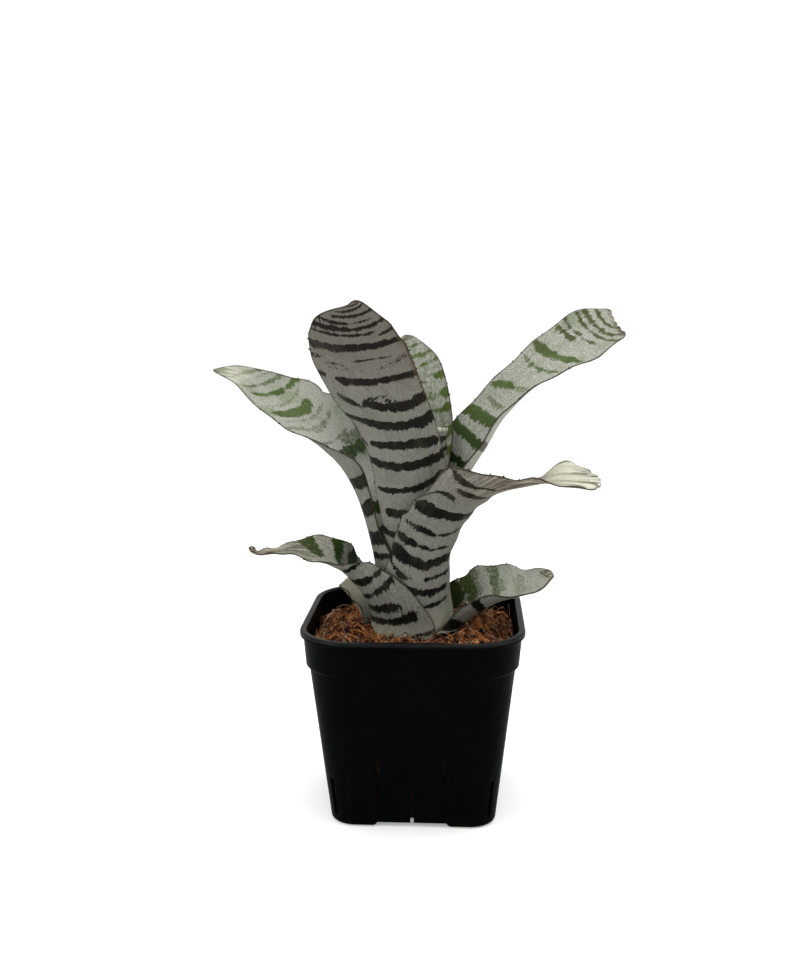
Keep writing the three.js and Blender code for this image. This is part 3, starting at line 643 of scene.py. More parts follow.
# Leaves
# Stiff channelled blades that start as cups round the stem, wrap into a tube and arch out. Both faces are
# green-black under a silver felt of scales, which is missing in ragged bands across the blade. The upper
# side is greener, and the margins have a thin brown edge with small hooked spines. Painted shade darkens
# the bare blade lower down, and in part the under side and the margins where leaves meet.
SHEATH_START, CUP_HEIGHT, CUP_SHARES = 5.3, 18.0, (0.0, 0.3, 0.62)
BLADE_THICKNESS, MARGIN_THINNING, MARGIN_BULGE = 0.8, 0.45, 0.16
RIBS, RIB_HEIGHT = 31, 0.035
TIP_SPAN, TIP_POWER = 1.3, 1.0
WAVE_HEIGHT, WAVE_RATE = 0.5, 5.2
CURL_START = 0.4
END_REACH, PLEATS, PLEAT_SLIDE = 8.0, 16.0, 1.2
ROW_PITCH, HALF_COLUMNS, TIP_ROWS = 0.75, 17, 30
SPINE_PITCH, SPINE_LENGTH, SPINE_RADIUS, SPINE_START, SPINE_END = 4.3, 0.95, 0.75, 30.0, 4.0
BAND_END, BAND_FADE, SHARP_BAND = 0.8, 2.4, 1.7
DRY_TIP, LIGHT_TIP, PALE_BASE, PALE_FADE, RUST_FADE = 2.0, 0.1, 18.0, 12.0, 6.0
PATTERN_SHIFT = 7.3

# Tube rows are height, radius and wrap. Blade rows are x, y, z, half width, cup, roll, azimuth and, where a
# side curls in, its two curls, in millimetres and degrees, as in the part. A tip is its length in rows and
# its power. An end and folds are explained at leaf_surface. Bands are the distance along the leaf,
# thickness, tilt, sag and the stretch from side to side, -1 to 1, with a strength where they are faint.
# Warm is the length at the tip that dries out, light the length there that bleaches, and pale a bleached
# length at the base. Shade mottles the felt above with grey-green and greens the blade: partly the leaf's
# own mottling and partly painted shade, most on the back and inner leaves. The key for painted light below
# says how much paler the under side is painted, as if a lamp at the right lit it. Rust is a side with a
# rusty stretch of margin, and spines how large its spines are.
LEAVES = {
    "leaf_lower_right": dict(
        azimuth=8, base=44, tube=[(63, 17.2, 80), (67, 17.8, 72)],
        tip=(0.6, 0.6),
        warm=4,
        rust=(-1, 42, 90),
        shade=0.25,
        blade=[
            (20.6, -0.6, 71.5, 15, 60, 8, 8, 32, 0), (26.6, -2, 76.4, 15.4, 52, 14, 6, 50, 0),
            (33.5, -2.4, 80, 13, 36, 18, 2, 25, 0), (42, -2.4, 82.2, 8.6, 24, 20, 0),
            (50.8, -2, 86.4, 3.2, 20, 24, 0),
        ],
        bands=[
            (24, 3, -2, 0, -1, 0.4), (31, 3.8, -1, 0, -1, 0.3), (30, 6, 0, 0, 0.45, 1, 0.9),
            (36, 5.6, 1, 0, 0.25, 1, 0.85), (39.5, 2.8, -1, 0, -1, -0.3), (39, 3, 1, 0, 0.25, 1, 0.5),
            (45.5, 2.8, 1.5, 0, -0.4, 1, 0.65), (48.3, 1.8, 0, 0, 0, 0.45, 0.5),
            (54.5, 4, 1, 0, -0.6, 0.6, 0.38), (65, 0.6, -2, 0, -0.5, 0.6),
        ],
    ),
    "leaf_lower_left": dict(
        azimuth=195, base=46.5, tube=[(64, 15.9, 104), (72, 16.3, 100)],
        tip=(0.2, 0.5),
        folds=[(36, -1, 7, 0, -7)],
        warm=34,
        pale=29,
        shade=0.1,
        blade=[
            (-18.8, -5, 79, 22, 80, 0, 195), (-24.6, -6.5, 86.5, 15.6, 66, 0, 193, 0, 50),
            (-30.5, -8, 93, 9.4, 45, -24, 187, 0, 20), (-38, -9.5, 96, 6, 32, -36, 182),
            (-46, -10, 96.2, 3.2, 30, -22, 180), (-53, -10, 95.2, 2.4, 35, -12, 180),
            (-58, -10, 95.2, 2.4, 35, 0, 180), (-59.6, -10, 97.4, 2.2, 35, 0, 180),
        ],
        bands=[
            (21, 1.4, 0, 4, -1, 1, 0.7), (26.6, 2.3, 1, 4.6, -1, 0.86), (31.4, 2.4, 0.9, 1.6, -1, 0.7),
            (36.2, 1.8, 1.2, 1.3, -1, 0.95), (44.4, 3.4, -5, 2.8, -0.1, 0.7),
            (44.2, 1.8, -5, 2.8, 0.6, 1), (49.5, 1.3, 0, 0, 0.45, 0.96), (47, 5, 0, 0, -1, -0.55),
            (50.5, 3.4, -6, -1, -1, 0), (61, 5.4, -6.5, -2.5, -1, 0.2, 0.9),
        ],
    ),
    "leaf_front_right": dict(
        azimuth=-68, base=49, tube=[(66, 14.2, 98)],
        tip=(0.6, 0.7),
        end=(-1.3, -1.4, 0.8),
        warm=50,
        light=17,
        pale=31,
        spines=0.9,
        folds=[
            (78, -1, 5, 0, 3.5), (67, -1, 5, 0, -2.5), (63.5, -1, 1.4, 1.2, 0.6),
            (61, -1, 1.2, -1, -0.8), (58, -1, 1.3, 1.2, 1.3), (112, 1, 5, 0, 3),
        ],
        blade=[
            (4.2, -14.4, 82, 18.2, 77, 0, -68), (5.6, -14.7, 95, 14.2, 61, 0, -66),
            (9.4, -15.8, 105, 14.4, 54, -8, -58), (15.4, -18, 112.8, 15.2, 52, -22, -40),
            (23.4, -20.5, 118, 12, 44, -28, -22), (32, -22.5, 121, 5.8, 72, -26, -10),
            (41, -24, 123, 3.6, 70, -12, -4), (51, -25, 125, 6, 20, 22, 0),
            (62, -25.5, 124.8, 5, 20, 32, 0),
        ],
        bands=[
            (30.2, 1.4, 1.5, 4, -1, 0.5), (35.6, 2.6, -1, 6.5, -0.6, 0.55),
            (42.3, 1.8, 9, 14, -1, -0.36), (40.5, 1.4, 3.3, 0.8, 0, 0.8),
            (46.3, 4, 0, 3.6, -0.95, -0.12), (46, 3.8, 6, -2.5, -0.12, 0.8),
            (52.2, 2, 0.3, 1.9, -0.92, -0.12), (51.7, 1, 6.2, -4.8, 0, 0.5),
            (57.4, 1.9, -1.3, -0.9, -0.82, -0.06), (58, 1.6, 2.4, 4.8, 0.06, 0.8),
            (66.5, 4.3, 3.8, 1.5, -0.9, 1), (68, 1.6, -20.7, -22.5, -0.9, -0.33, 0.8),
            (79.5, 2.3, 9, 6, -0.6, 0.3), (90, 2.8, 24, 12, -0.95, -0.5, 0.9),
            (87.1, 1.8, 0.3, -19.4, -0.6, -0.2, 0.9), (76.5, 0.8, 0, 0, 0.4, 0.55, 0.8),
        ],
    ),
    "leaf_left": dict(
        azimuth=158, base=51.5, tube=[(66, 12.8, 100), (80, 13.4, 96), (91, 14.6, 88)],
        folds=[(108, -1, 4, 0, 1.2), (102.6, -1, 1.2, 0, -1), (97, -1, 4, 0, 0.8), (78, -1, 14, 0, 4)],
        light=16,
        spines=0.8,
        blade=[
            (-17.2, 6.6, 104.5, 13.5, 62, 0, 160, 0, 20), (-23.6, 8.4, 118, 14, 52, 14, 162, -10, 40),
            (-31, 10.8, 130.5, 14, 38, -8, 165, -15, 35), (-41, 12, 143, 11.8, 28, -42, 170),
            (-54, 12.5, 151, 8.4, 18, -55, 172), (-66, 13, 157.8, 4.2, 15, -60, 174),
            (-76, 12.5, 160, 1.5, 12, -60, 175),
        ],
        bands=[
            (29, 3, 1, 2, -1, 1), (36, 2.4, 1, 2, -1, 1), (43, 2.2, 2, 0, -1, 1),
            (49.5, 4.4, 0.2, 0.4, -1, 1), (58.9, 4.8, 1.1, 0.1, -1, 1), (70.5, 4.2, -1.5, 0, -0.4, 1),
            (81.5, 4, -0.4, 0.5, -1, 0.5, 0.85), (86, 4, 0, 0, -1, -0.55, 0.6),
            (88, 1, 1.5, 4, -0.8, 0.5, 0.55), (94.7, 2.4, 1.6, 8.5, -0.7, 1, 0.5),
            (99.5, 1, 3, 8, -0.6, 0.8, 0.5), (104.2, 4.2, 3.2, 8.8, -0.45, 0.72, 0.9),
            (110, 1, 5, 6, -0.8, 0.6, 0.55), (116.8, 2.4, 8, 3, -1, 0.6),
            (122.7, 1.5, 6.5, 1.6, -1, 0.7, 0.7), (127, 1, 5, 0, -0.9, 0.4, 0.5),
            (131.4, 2.4, 4.5, -1, -1, 0.3), (138.3, 1.2, 5.8, 0, -1, 0.1),
        ],
    ),
    "leaf_front": dict(
        azimuth=-95, base=54, tube=[(68, 11.3, 100), (84, 11.6, 84), (102, 12.2, 64)],
        tip=(0.5, 0.8),
        folds=[(136, -1, 4, 0, 1.2), (148, -1, 5, 0, -2.4), (104, -1, 8, 0, 0.8)],
        rust=(1, 92, 132),
        spines=1,
        blade=[
            (-1, -13.4, 118, 15.6, 56, 0, -95), (-3.6, -15.2, 133, 14.8, 48, 0, -95),
            (-8.8, -18.5, 147, 15.5, 38, 0, -97), (-15.6, -23, 159.5, 17.6, 30, 0, -98),
            (-18.3, -29.5, 169, 16.7, 25, 0, -95), (-18.2, -37.5, 177, 12, 20, 4, -88),
            (-15.8, -46.5, 185.4, 2.2, 20, 8, -80),
        ],
        bands=[
            (31, 2.4, 0, 3, -1, 1), (40, 2.6, 1, 3, -1, 1), (49, 2.4, 0, 3, -1, 1),
            (57.6, 3.2, 1, 2, -0.7, 0.1), (66.8, 2.4, 1.8, 2.8, -0.82, 0.9),
            (75.4, 3.2, -1.5, 2.6, -1, 1), (83.5, 3.1, -3.3, 0.5, -0.72, 0.92),
            (63, 2.4, -26, 0, -1, -0.87, 0.8), (91.1, 3.5, -5.6, 3.4, -1, 1), (90, 2, -4, 0, 0.4, 0.75),
            (98.8, 3.5, -8.7, 6, -0.32, 1), (95, 3, -16.5, 0, -0.78, -0.42, 0.75),
            (102.8, 0.8, -4, 0, -0.25, 0.2, 0.7), (101.6, 1.1, -8, 0, 0.08, 0.3, 0.8),
            (109.4, 2.8, -5.6, -0.7, -0.6, 0.95), (113.2, 2, -1, 0, -1, -0.82, 0.9),
            (120, 1.2, 0, 0, -1, -0.75, 0.6), (115.4, 0.9, -8.4, -7, -0.7, -0.2, 0.55),
            (114.1, 0.8, -5.6, -2.8, -0.7, 0.1, 0.5), (118.5, 0.9, 1.1, -3.6, -0.1, 0.65, 0.9),
            (114, 2.2, -4.3, 6.7, 0.35, 0.98, 0.5), (124.5, 3.2, 0.6, 0.6, -1, 1),
            (127, 1.3, 4.6, 0, 0.62, 1), (130.5, 1.3, 0.8, 2.1, -0.95, 0.5),
            (133.5, 1.7, 1.3, 2.3, -1, 1), (136.3, 1.1, 0.7, 1.2, -1, -0.05),
            (136.7, 0.9, 1.1, 2.4, 0.1, 0.65, 0.9), (140, 1.3, 2.1, 0.8, -0.8, 1),
            (143.4, 1.2, 3.4, 0.5, -0.8, 0.8), (145.8, 1, 2.4, 0.5, -0.8, 0.9),
        ],
    ),
    "leaf_upper_right": dict(
        azimuth=20, base=56.5, tube=[(70, 9.8, 100), (90, 10.2, 84), (106, 11, 70)],
        tip=(0.25, 0.35),
        end=(-0.8, 1.4, 0.2),
        # Painted light: the under side of this leaf is painted paler, as if a lamp at the right lit it.
        painted_underside_light=0.6,
        spines=0.8,
        blade=[
            (15.6, 5, 119, 12.5, 56, 12, 18, 35, 0), (21.4, 7, 132, 12, 46, 32, 16, 60, 0),
            (29.8, 9.5, 145, 9.6, 36, 36, 16, 64, 0), (40, 12, 156, 8.8, 28, 40, 15, 30, 0),
            (51.4, 14, 165, 10, 20, 42, 14), (63.8, 15, 172.2, 11.4, 16, 45, 12),
            (74.8, 14.5, 177, 7, 12, 45, 10),
        ],
        bands=[
            (40, 3, 0, 3, -1, 1), (52, 3, 0, 3, -1, 1), (63, 3, 1, 2, -1, 1), (71.5, 3, 1, 2, -0.5, 1),
            (81, 3.7, 1.3, 0.8, -1, 1), (90.3, 4.7, -0.3, 0.2, -0.5, 1),
            (96.7, 1.6, -1.3, 4.5, -0.25, 0.3, 0.6), (97.4, 1.6, 0, 0, 0.4, 0.6, 0.6),
            (105.5, 3.6, -1.4, -2.8, 0.12, 0.85), (106, 3, -3, 0, -0.6, 0, 0.55),
            (116.6, 1.6, -2.6, 3.2, -0.8, 0.75, 0.8), (124.3, 3.2, -4.5, 2.4, -0.9, 0.92),
            (133.7, 2, -3.5, 1.2, 0.05, 0.95), (138, 1.2, -9, 6, 0.15, 1, 0.9),
            (136.4, 1.2, -6.5, 0, -0.45, 0, 0.9), (140.9, 1.1, -4.3, 2.8, -1, 1),
            (144.2, 1.8, -4.7, 2.5, -0.8, 1), (148.4, 1, -4.8, 2.1, -0.5, 1),
        ],
    ),
    "leaf_back": dict(
        azimuth=85, base=59, tube=[(72, 8.3, 100), (90, 8.6, 82), (106, 9.2, 66)],
        # Partly painted shade: this leaf stands behind the others.
        shade=0.6,
        spines=0.8,
        blade=[
            (1.6, 10.4, 120, 12, 54, 0, 86), (2.6, 12.2, 136, 12.6, 44, 0, 88),
            (1.8, 16.5, 150, 11, 32, 0, 88), (-0.6, 22.5, 161.5, 9, 25, 0, 92),
            (-4.8, 30, 172, 5.6, 20, 0, 96),
        ],
        bands=[
            (40, 3, 0, 3, -1, 1), (51, 3, 1, 3, -1, 1), (61, 3, 0, 3, -1, 1), (70, 3, -1, 2, -1, 1),
            (78.5, 2.6, 1, 2, -1, 1), (86.6, 1.2, 0.5, 0, -0.76, 1, 0.8), (86.9, 2.6, 0, 0, -1, -0.72),
            (91.6, 2, -0.3, 0.4, -0.75, 0.6, 0.6), (92, 3.4, 0, 0, -1, -0.7),
            (99.3, 2.5, 0, 0, -0.98, -0.66), (98, 1, 2, 0, -0.5, 0.8, 0.6),
            (104.2, 1.1, -1.5, 0, -1, 0.4, 0.8), (109.1, 1.5, 1.4, 1.6, -0.9, 0.9, 0.8),
            (113.9, 1, -0.3, 0, -0.7, 0.8, 0.7), (117.7, 1, 0.5, 0, -0.6, 0.6, 0.7),
        ],
    ),
    "leaf_inner": dict(
        azimuth=-60, base=62.5, tube=[(74, 6.4, 95), (94, 6.6, 78), (112, 6.8, 66)],
        tip=(0.3, 0.4),
        # Partly painted shade: this leaf stands deep inside the others.
        shade=0.8,
        light=1.6,
        spines=0.5,
        blade=[
            (7.2, -5, 124, 7.5, 55, 0, -50), (9.2, -5.2, 133, 6.6, 50, 0, -45),
            (10.4, -5.2, 140.5, 5.2, 45, 0, -40),
        ],
        bands=[
            (40, 2.4, 0, 2, -1, 1), (49, 2.4, 0, 2, -1, 1), (57, 2.2, 0, 2, -1, 1),
            (64, 2, 0, 2, -1, 1), (69.5, 1.6, 0, 2, -1, 1), (73.4, 2, 0, 2, -1, 1, 0.85),
            (77.2, 1.8, 0.4, 1.6, -1, 1, 0.7),
        ],
    ),
    "trimmed_leaf_base": dict(
        azimuth=162, base=44, tube=[(61, 17.6, 34), (66, 18.4, 30)],
        blade=[
            (-20.5, 6.4, 72, 8.5, 34, 0, 162), (-24.5, 7.4, 76.5, 8, 30, 0, 164),
            (-28, 8, 80, 7, 26, 0, 166),
        ],
        cut=True,
        pale=90,
        bands=[],
    ),
}


def stations(leaf):
    """Rows of place, half width, cup, roll, azimuth, blade share and curls, from the base to the tip."""
    turn = math.radians(leaf["azimuth"])
    _, tube_radius, tube_wrap = leaf["tube"][0]
    cups = [
        (leaf["base"] + share * CUP_HEIGHT,
         SHEATH_START + (tube_radius - SHEATH_START) * math.sin(share * math.pi / 2), tube_wrap)
        for share in CUP_SHARES
    ]
    tube = [
        (radius * math.cos(turn), radius * math.sin(turn), z,
         radius * math.radians(wrap), wrap, 0, leaf["azimuth"], 0, 0, 0)
        for z, radius, wrap in cups + leaf["tube"]
    ]
    blade = [(*row[:7], 1, *(row[7:] or (0, 0))) for row in leaf["blade"]]
    return np.array(tube + blade, float)


def through(rows, place):
    """The smooth cubic curve through the rows (Catmull and Rom's), at places counted in rows."""
    last = len(rows) - 1
    k = np.minimum(place.astype(int), last - 1)
    t = (place - k)[:, None]
    a, b, c, d = (rows[np.clip(k + shift, 0, last)] for shift in (-1, 0, 1, 2))
    square, cube = 2 * a - 5 * b + 4 * c - d, 3 * b - a - 3 * c + d
    return 0.5 * (2 * b + (c - a) * t + square * t ** 2 + cube * t ** 3)


def unit(vectors):
    """Vectors of length 1."""
    return vectors / np.linalg.norm(vectors, axis=-1, keepdims=True)


def leaf_skin(rows, place, across):
    """Points of the middle surface with their normals, sideways directions and directions along the leaf.

    A section is an arc through the mid-line: the surface bends by the cup from there to each margin, and
    past CURL_START of the way by a curl more. A small wave runs along the margins.
    """
    last = len(rows) - 1
    row = through(rows, place)
    middle, half, cup, roll, turn, share, low_curl, high_curl = np.split(row, [3, 4, 5, 6, 7, 8, 9], 1)
    ahead, behind = (through(rows, np.clip(place + step, 0, last))[:, :3] for step in (0.05, -0.05))
    along = unit(ahead - behind)
    turn, roll, cup = np.radians(turn), np.radians(roll) * share, np.radians(cup)
    side = np.concatenate([-np.sin(turn), np.cos(turn), 0 * turn], 1)
    side = unit(side - (side * along).sum(1, keepdims=True) * along * share)
    inward = np.concatenate([-np.cos(turn), -np.sin(turn), 0 * turn], 1)
    face = unit(np.cross(along, side))
    face = unit(face + (inward - face) * (1 - share))
    lateral = (side * np.cos(roll) + face * np.sin(roll))[:, None]
    normal = (face * np.cos(roll) - side * np.sin(roll))[:, None]
    hand, reach = np.sign(across), np.abs(across)
    inner = np.minimum(reach, CURL_START)
    tight = cup + np.radians(np.where(across < 0, low_curl, high_curl)) / (1 - CURL_START)
    first = cup * inner
    arc = first + tight * (reach - inner)
    spread = hand * half * (np.sin(first) / cup + (np.sin(arc) - np.sin(first)) / tight)
    lift = half * ((1 - np.cos(first)) / cup + (np.cos(first) - np.cos(arc)) / tight)
    lift = lift + WAVE_HEIGHT * share * reach ** 3 * np.sin(place[:, None] * WAVE_RATE + hand)
    points = middle[:, None] + lateral * spread[..., None] + normal * lift[..., None]
    arc = (hand * arc)[..., None]
    outward = normal * np.cos(arc) - lateral * np.sin(arc)
    sideways = lateral * np.cos(arc) + normal * np.sin(arc)
    return points, outward, sideways, np.broadcast_to(along[:, None], points.shape)


def leaf_places(leaf, rows):
    """Places along a leaf, their distances from its base, and how far its tip has closed there.

    The half width closes as the cosine of an angle, to a power that is low for a blunt tip and high for a
    pointed one, while the place goes on as its sine.
    """
    last = len(rows) - 1
    fine = np.linspace(0, last, 800)
    steps = np.linalg.norm(np.diff(through(rows, fine)[:, :3], axis=0), axis=1)
    length = np.concatenate([[0], np.cumsum(steps)])
    cut = leaf.get("cut", False)
    span, power = leaf.get("tip", (TIP_SPAN, TIP_POWER))
    end = last if cut else last - span
    reach = np.interp(end, fine, length)
    body = np.interp(np.linspace(0, reach, int(reach / ROW_PITCH)), length, fine)
    closing = np.ones(len(body))
    if not cut:
        angle = np.linspace(0, 0.995 * np.pi / 2, TIP_ROWS + 1)[1:]
        body = np.concatenate([body, end + span * np.sin(angle)])
        closing = np.concatenate([closing, np.cos(angle) ** power])
    return body, np.interp(body, fine, length), closing


def leaf_surface(leaf, rows, place, v, across, length):
    """The skin with what is special on one leaf: a slanted or hollow end, pleats there, and local folds.

    The end slides along the leaf by the slant times u, and its middle draws back. Pleats are waves across
    the leaf that grow towards the end. A fold lifts the margin at one place, and dies away round it.
    """
    points, outward, sideways, along = leaf_skin(rows, place, across)
    left = (length - v)[:, None]
    slant, hollow, pleat = leaf.get("end", (0, 0, 0))
    near = np.exp(-(left / END_REACH) ** 2)
    scallops = PLEAT_SLIDE * pleat * np.cos(PLEATS * across)
    slide = near * (slant * across - hollow * (1 - across ** 2) + scallops)
    bump = near * pleat * np.sin(PLEATS * across)
    reach = 0 * bump
    for at, hand, width, lift, push in leaf.get("folds", []):
        outer = np.clip(hand * across * 2 - 1, 0, 1) ** 2 * np.exp(-((v[:, None] - at) / width) ** 2)
        bump = bump + lift * outer
        reach = reach + hand * push * outer
    points = points + along * slide[..., None] + outward * bump[..., None] + sideways * reach[..., None]
    return points, outward, sideways, along


def band_depth(bands, v, u, half):
    """How deep a point lies in its nearest band, on which side of its middle line, and the strength.

    The middle line is at along + tilt u + sag u u, and the band thins out at both ends. A band that is
    thinner than SHARP_BAND counts as deeper, so that its ragged edges don't break it up.
    """
    depth = np.full(u.shape, -4.0)
    side, strength = np.zeros(u.shape), np.zeros(u.shape)
    for along, thick, tilt, sag, start, end, *force in bands:
        start, end = (start if start > -1 else -2), (end if end < 1 else 2)
        ends = np.minimum(u - start, end - u) * half
        reach = thick / 2 * np.sqrt(np.clip((ends + BAND_END) / BAND_FADE, 0, 1))
        reach = reach - np.clip(-BAND_END - ends, 0, 3)
        offset = v - (along + tilt * u + sag * u * u)
        inside = (reach - np.abs(offset)) * max(1.0, SHARP_BAND / thick)
        nearer = inside > depth
        depth = np.where(nearer, inside, depth)
        side = np.where(nearer, np.clip(offset, -1, 1), side)
        strength = np.where(nearer, force[0] if force else 1.0, strength)
    return np.stack([depth, side, strength], -1)


def spines(leaf, rows, seed, fine_place, fine_v, fine_closing):
    """Hooked spines along both margins: short curved cones that lean towards the tip of the leaf."""
    random = np.random.default_rng(seed)
    length = fine_v[-1]
    count = int((length - SPINE_START - SPINE_END) / SPINE_PITCH)
    points, faces = [], []
    for side in (-1.0, 1.0):
        v = SPINE_START + SPINE_PITCH * (np.arange(count) + random.uniform(-0.25, 0.25, count))
        place = np.interp(v, fine_v, fine_place)
        across = (side * np.interp(v, fine_v, fine_closing))[:, None]
        surface = leaf_surface(leaf, rows, place, v, across, length)
        root, outward, sideways, along = (part[:, 0] for part in surface)
        size = SPINE_LENGTH * leaf.get("spines", 1) * random.uniform(0.5, 1.2, count)
        size = (size * np.clip((length - v) / 25, 0.35, 1))[:, None, None]
        s = np.linspace(0, 1, 6)[None, :, None]
        hook = side * sideways[:, None] * (1.1 * s - 0.3) + along[:, None] * 0.5 * s ** 1.8
        radius = SPINE_RADIUS * (1 - 0.95 * s[..., 0]) * size[..., 0]
        cone_points, body, caps = strands(root[:, None] + size * hook, radius, sides=6, flat=0.7)
        total = sum(len(part) for part in points)
        points.append(cone_points)
        faces.append((body + total, caps + total))
    bodies, caps = (np.concatenate(part) for part in zip(*faces))
    return np.concatenate(points), bodies, caps


def leaf_finish(name, upper):
    """Silver felt over a dark blade, which shows where the felt is missing.

    The mesh's attributes say where a point is and what it is like. Place is the distances across and along
    the leaf. Band is the depth in a bare band, the side of its middle and its strength. Tint is how dry,
    bleached and pale the leaf is there, and margin is the distance to the margin, the rust and the shade,
    which above is partly painted shade and below is painted light.
    """
    leaf = Finish(name, specular_ior_level=0.06)
    place, band, tint, margin = (
        leaf.node("ShaderNodeAttribute", {"attribute_name": key}, output="Vector")
        for key in ("place", "band", "tint", "margin")
    )
    depth, side, strength = leaf.parts(band)
    warm, pale, light = leaf.parts(tint)
    edge, rust, shade = leaf.parts(margin)
    height = leaf.parts(leaf.place())[2]
    streaks = leaf.noise(place, (2.0, 0.2, 1.0), detail=3, roughness=0.6)
    veins = leaf.noise(place, (1.2, 0.07, 1.4), detail=2)
    steps = leaf.noise(place, (0.42, 0.16, 2.3), detail=1)
    fringe = leaf.noise(place, (2.3, 0.5, 1.3), detail=3, roughness=0.65)
    mottle = leaf.noise(place, (1.0, 0.7, 1.7), detail=4, roughness=0.75)
    flecks = leaf.noise(place, (3.4, 2.4, 2.1), detail=2, roughness=0.6)
    cloud = leaf.noise(place, (0.18, 0.12, 3.1), detail=2)

    def over(skin, share, *tint):
        """The skin with a colour laid over it by a share."""
        return leaf.mix(share, skin, colour(*tint))

    def flecked(first, second):
        """Two colours in the pattern of the fine flecks."""
        return leaf.mix(flecks, colour(*first), colour(*second))

    # The bands of the upper side are more ragged and softer, and fade more evenly where they are faint.
    raggedness, faint, edge_of_felt, rim_share = (
        (1.5, (0.1, 0.95), (-0.5, 0.25), 0.5) if upper else (1.0, (0.42, 0.68), (-0.2, 0.15), 0.8)
    )
    ragged = (fringe - 0.5) * (2.2 - side) + (steps - 0.5) * 2 + (flecks - 0.5) * 0.8
    depth = depth + ragged * raggedness
    bare = leaf.step(depth, *edge_of_felt) * leaf.step(strength + (mottle - 0.5) * 1.2, *faint)
    specks = leaf.step(flecks, 0.6, 0.72) * leaf.step(depth, -4.5, -0.6) * 0.5
    bare = (bare + specks).math("MINIMUM", 1.0)
    if upper:
        felt = leaf.mix(streaks, colour(126, 127, 117), colour(158, 159, 149))
        felt = over(felt, leaf.step(flecks, 0.52, 0.64) * 0.6, 84, 94, 70)
        felt = over(felt, leaf.step(flecks * -1, -0.46, -0.34) * 0.6, 201, 201, 194)
        felt = over(felt, leaf.step(cloud + (mottle - 0.5) * 0.5, 0.5, 0.7) * 0.45, 98, 114, 76)
        # The shade mottles the felt with dark grey-green: partly the leaf's own mottling and partly painted
        # shade on the leaves behind and inside the others.
        felt = over(felt, shade * leaf.step(mottle, 0.4, 0.6), 72, 80, 60)
        # Painted shade: the blade above is painted darker green lower down, where less of the overhead
        # light reaches, and lighter higher up.
        lit_blade_above, shaded_blade_below = flecked((54, 72, 32), (92, 106, 66)), flecked((12, 34, 5), (36, 58, 18))
        blade = leaf.mix(leaf.step(height, 124.0, 152.0), shaded_blade_below, lit_blade_above)
        greener = (shade * 2).math("MINIMUM", 1.0)
        blade = leaf.mix(greener, blade, flecked((40, 60, 14), (84, 98, 44)))
        blade = over(blade, leaf.step(cloud * 0.6 + mottle * 0.4, 0.47, 0.56) * 0.4, 46, 58, 26)
        blade = over(blade, leaf.step(height, 163.0, 172.0) * 0.6, 66, 66, 44)
        dry = colour(104, 78, 50)
    else:
        # The felt and blade below are darker than above: partly their own colour and partly painted shade
        # of faces turned down, away from the overhead lamp.
        felt = leaf.mix(streaks, colour(87, 87, 80), colour(124, 124, 115))
        felt = over(felt, leaf.step(cloud, 0.45, 0.7) * 0.35, 80, 80, 70)
        felt = over(felt, leaf.step(flecks, 0.52, 0.66) * 0.45, 50, 50, 43)
        felt = over(felt, leaf.step(flecks * -1, -0.44, -0.32) * 0.4, 146, 146, 138)
        felt = over(felt, leaf.step(height, 145.0, 178.0) * 0.6, 90, 83, 75)
        # Painted light: where a leaf's key for it is set, the felt and blade below are painted paler, as if
        # a lamp at the right lit the under side.
        felt = leaf.mix(shade, felt, flecked((186, 186, 176), (158, 158, 148)))
        # Painted shade: the bare blade below is painted darker lower down, where less of the overhead light
        # reaches.
        lit_blade_above, shaded_blade_below = flecked((9, 8, 6), (30, 26, 21)), flecked((1, 2, 1), (13, 14, 9))
        blade = leaf.mix(leaf.step(height, 90.0, 165.0), shaded_blade_below, lit_blade_above)
        blade = over(blade, leaf.step(cloud + (streaks - 0.5) * 0.6, 0.45, 0.7) * 0.4, 52, 52, 42)
        blade = over(blade, shade, 112, 106, 98)
        dry = colour(146, 126, 110)
    skin = leaf.mix(bare, felt, blade)
    skin = leaf.mix(warm * leaf.step(streaks, 0.3, 0.65) * (1 - bare * 0.75) * 0.6, skin, dry)
    withered = leaf.step(warm, 0.0, 0.5)
    skin = over(skin, withered * leaf.step(veins, 0.5, 0.56) * 0.7, 62, 50, 38)
    bright = leaf.step(veins * -1, -0.46, -0.41) * (1 - bare * 0.85)
    skin = over(skin, withered * bright * 0.5, 150, 148, 124)
    bleached = leaf.mix(streaks, colour(148, 147, 125), colour(186, 185, 166))
    skin = leaf.mix(pale * (1 - bare * 0.9) * 0.85, skin, bleached)
    skin = over(skin, light * leaf.step(streaks, 0.15, 0.5) * 0.9, 222, 221, 206)
    skin = over(skin, light * leaf.step(veins, 0.49, 0.53) * 0.9, 88, 96, 62)
    rusty = leaf.step(rust * 1.7 - edge + (mottle - 0.5) * 3, 0.0, 1.3) * rust
    skin = over(skin, rusty * 0.55, 84, 66, 46)
    # The dark rim along each margin is partly its thin brown edge and partly painted shade of the crevices
    # where leaves meet.
    rim = leaf.step(0.5 - edge + (fringe - 0.5) * 0.9, 0.0, 0.3)
    skin = over(skin, rim * rim_share, 32, 27, 19)
    leaf.set(base_color=skin, roughness=0.75 - bare * 0.2)
    leaf.bump(streaks * 0.5 + flecks * 0.4 - bare * 0.3, 0.12)
    return leaf


upper_side = leaf_finish("upper side of a leaf", True)
under_side = leaf_finish("under side of a leaf", False)
horn = Finish("horny margin", roughness=0.5, specular_ior_level=0.2)
spot = horn.place()
tone = horn.noise(spot, (0.9, 0.9, 0.9), detail=3)
horn.set(base_color=horn.mix(horn.step(tone, 0.35, 0.65), colour(22, 17, 12), colour(64, 52, 40)))
horn.bump(tone, 0.1)

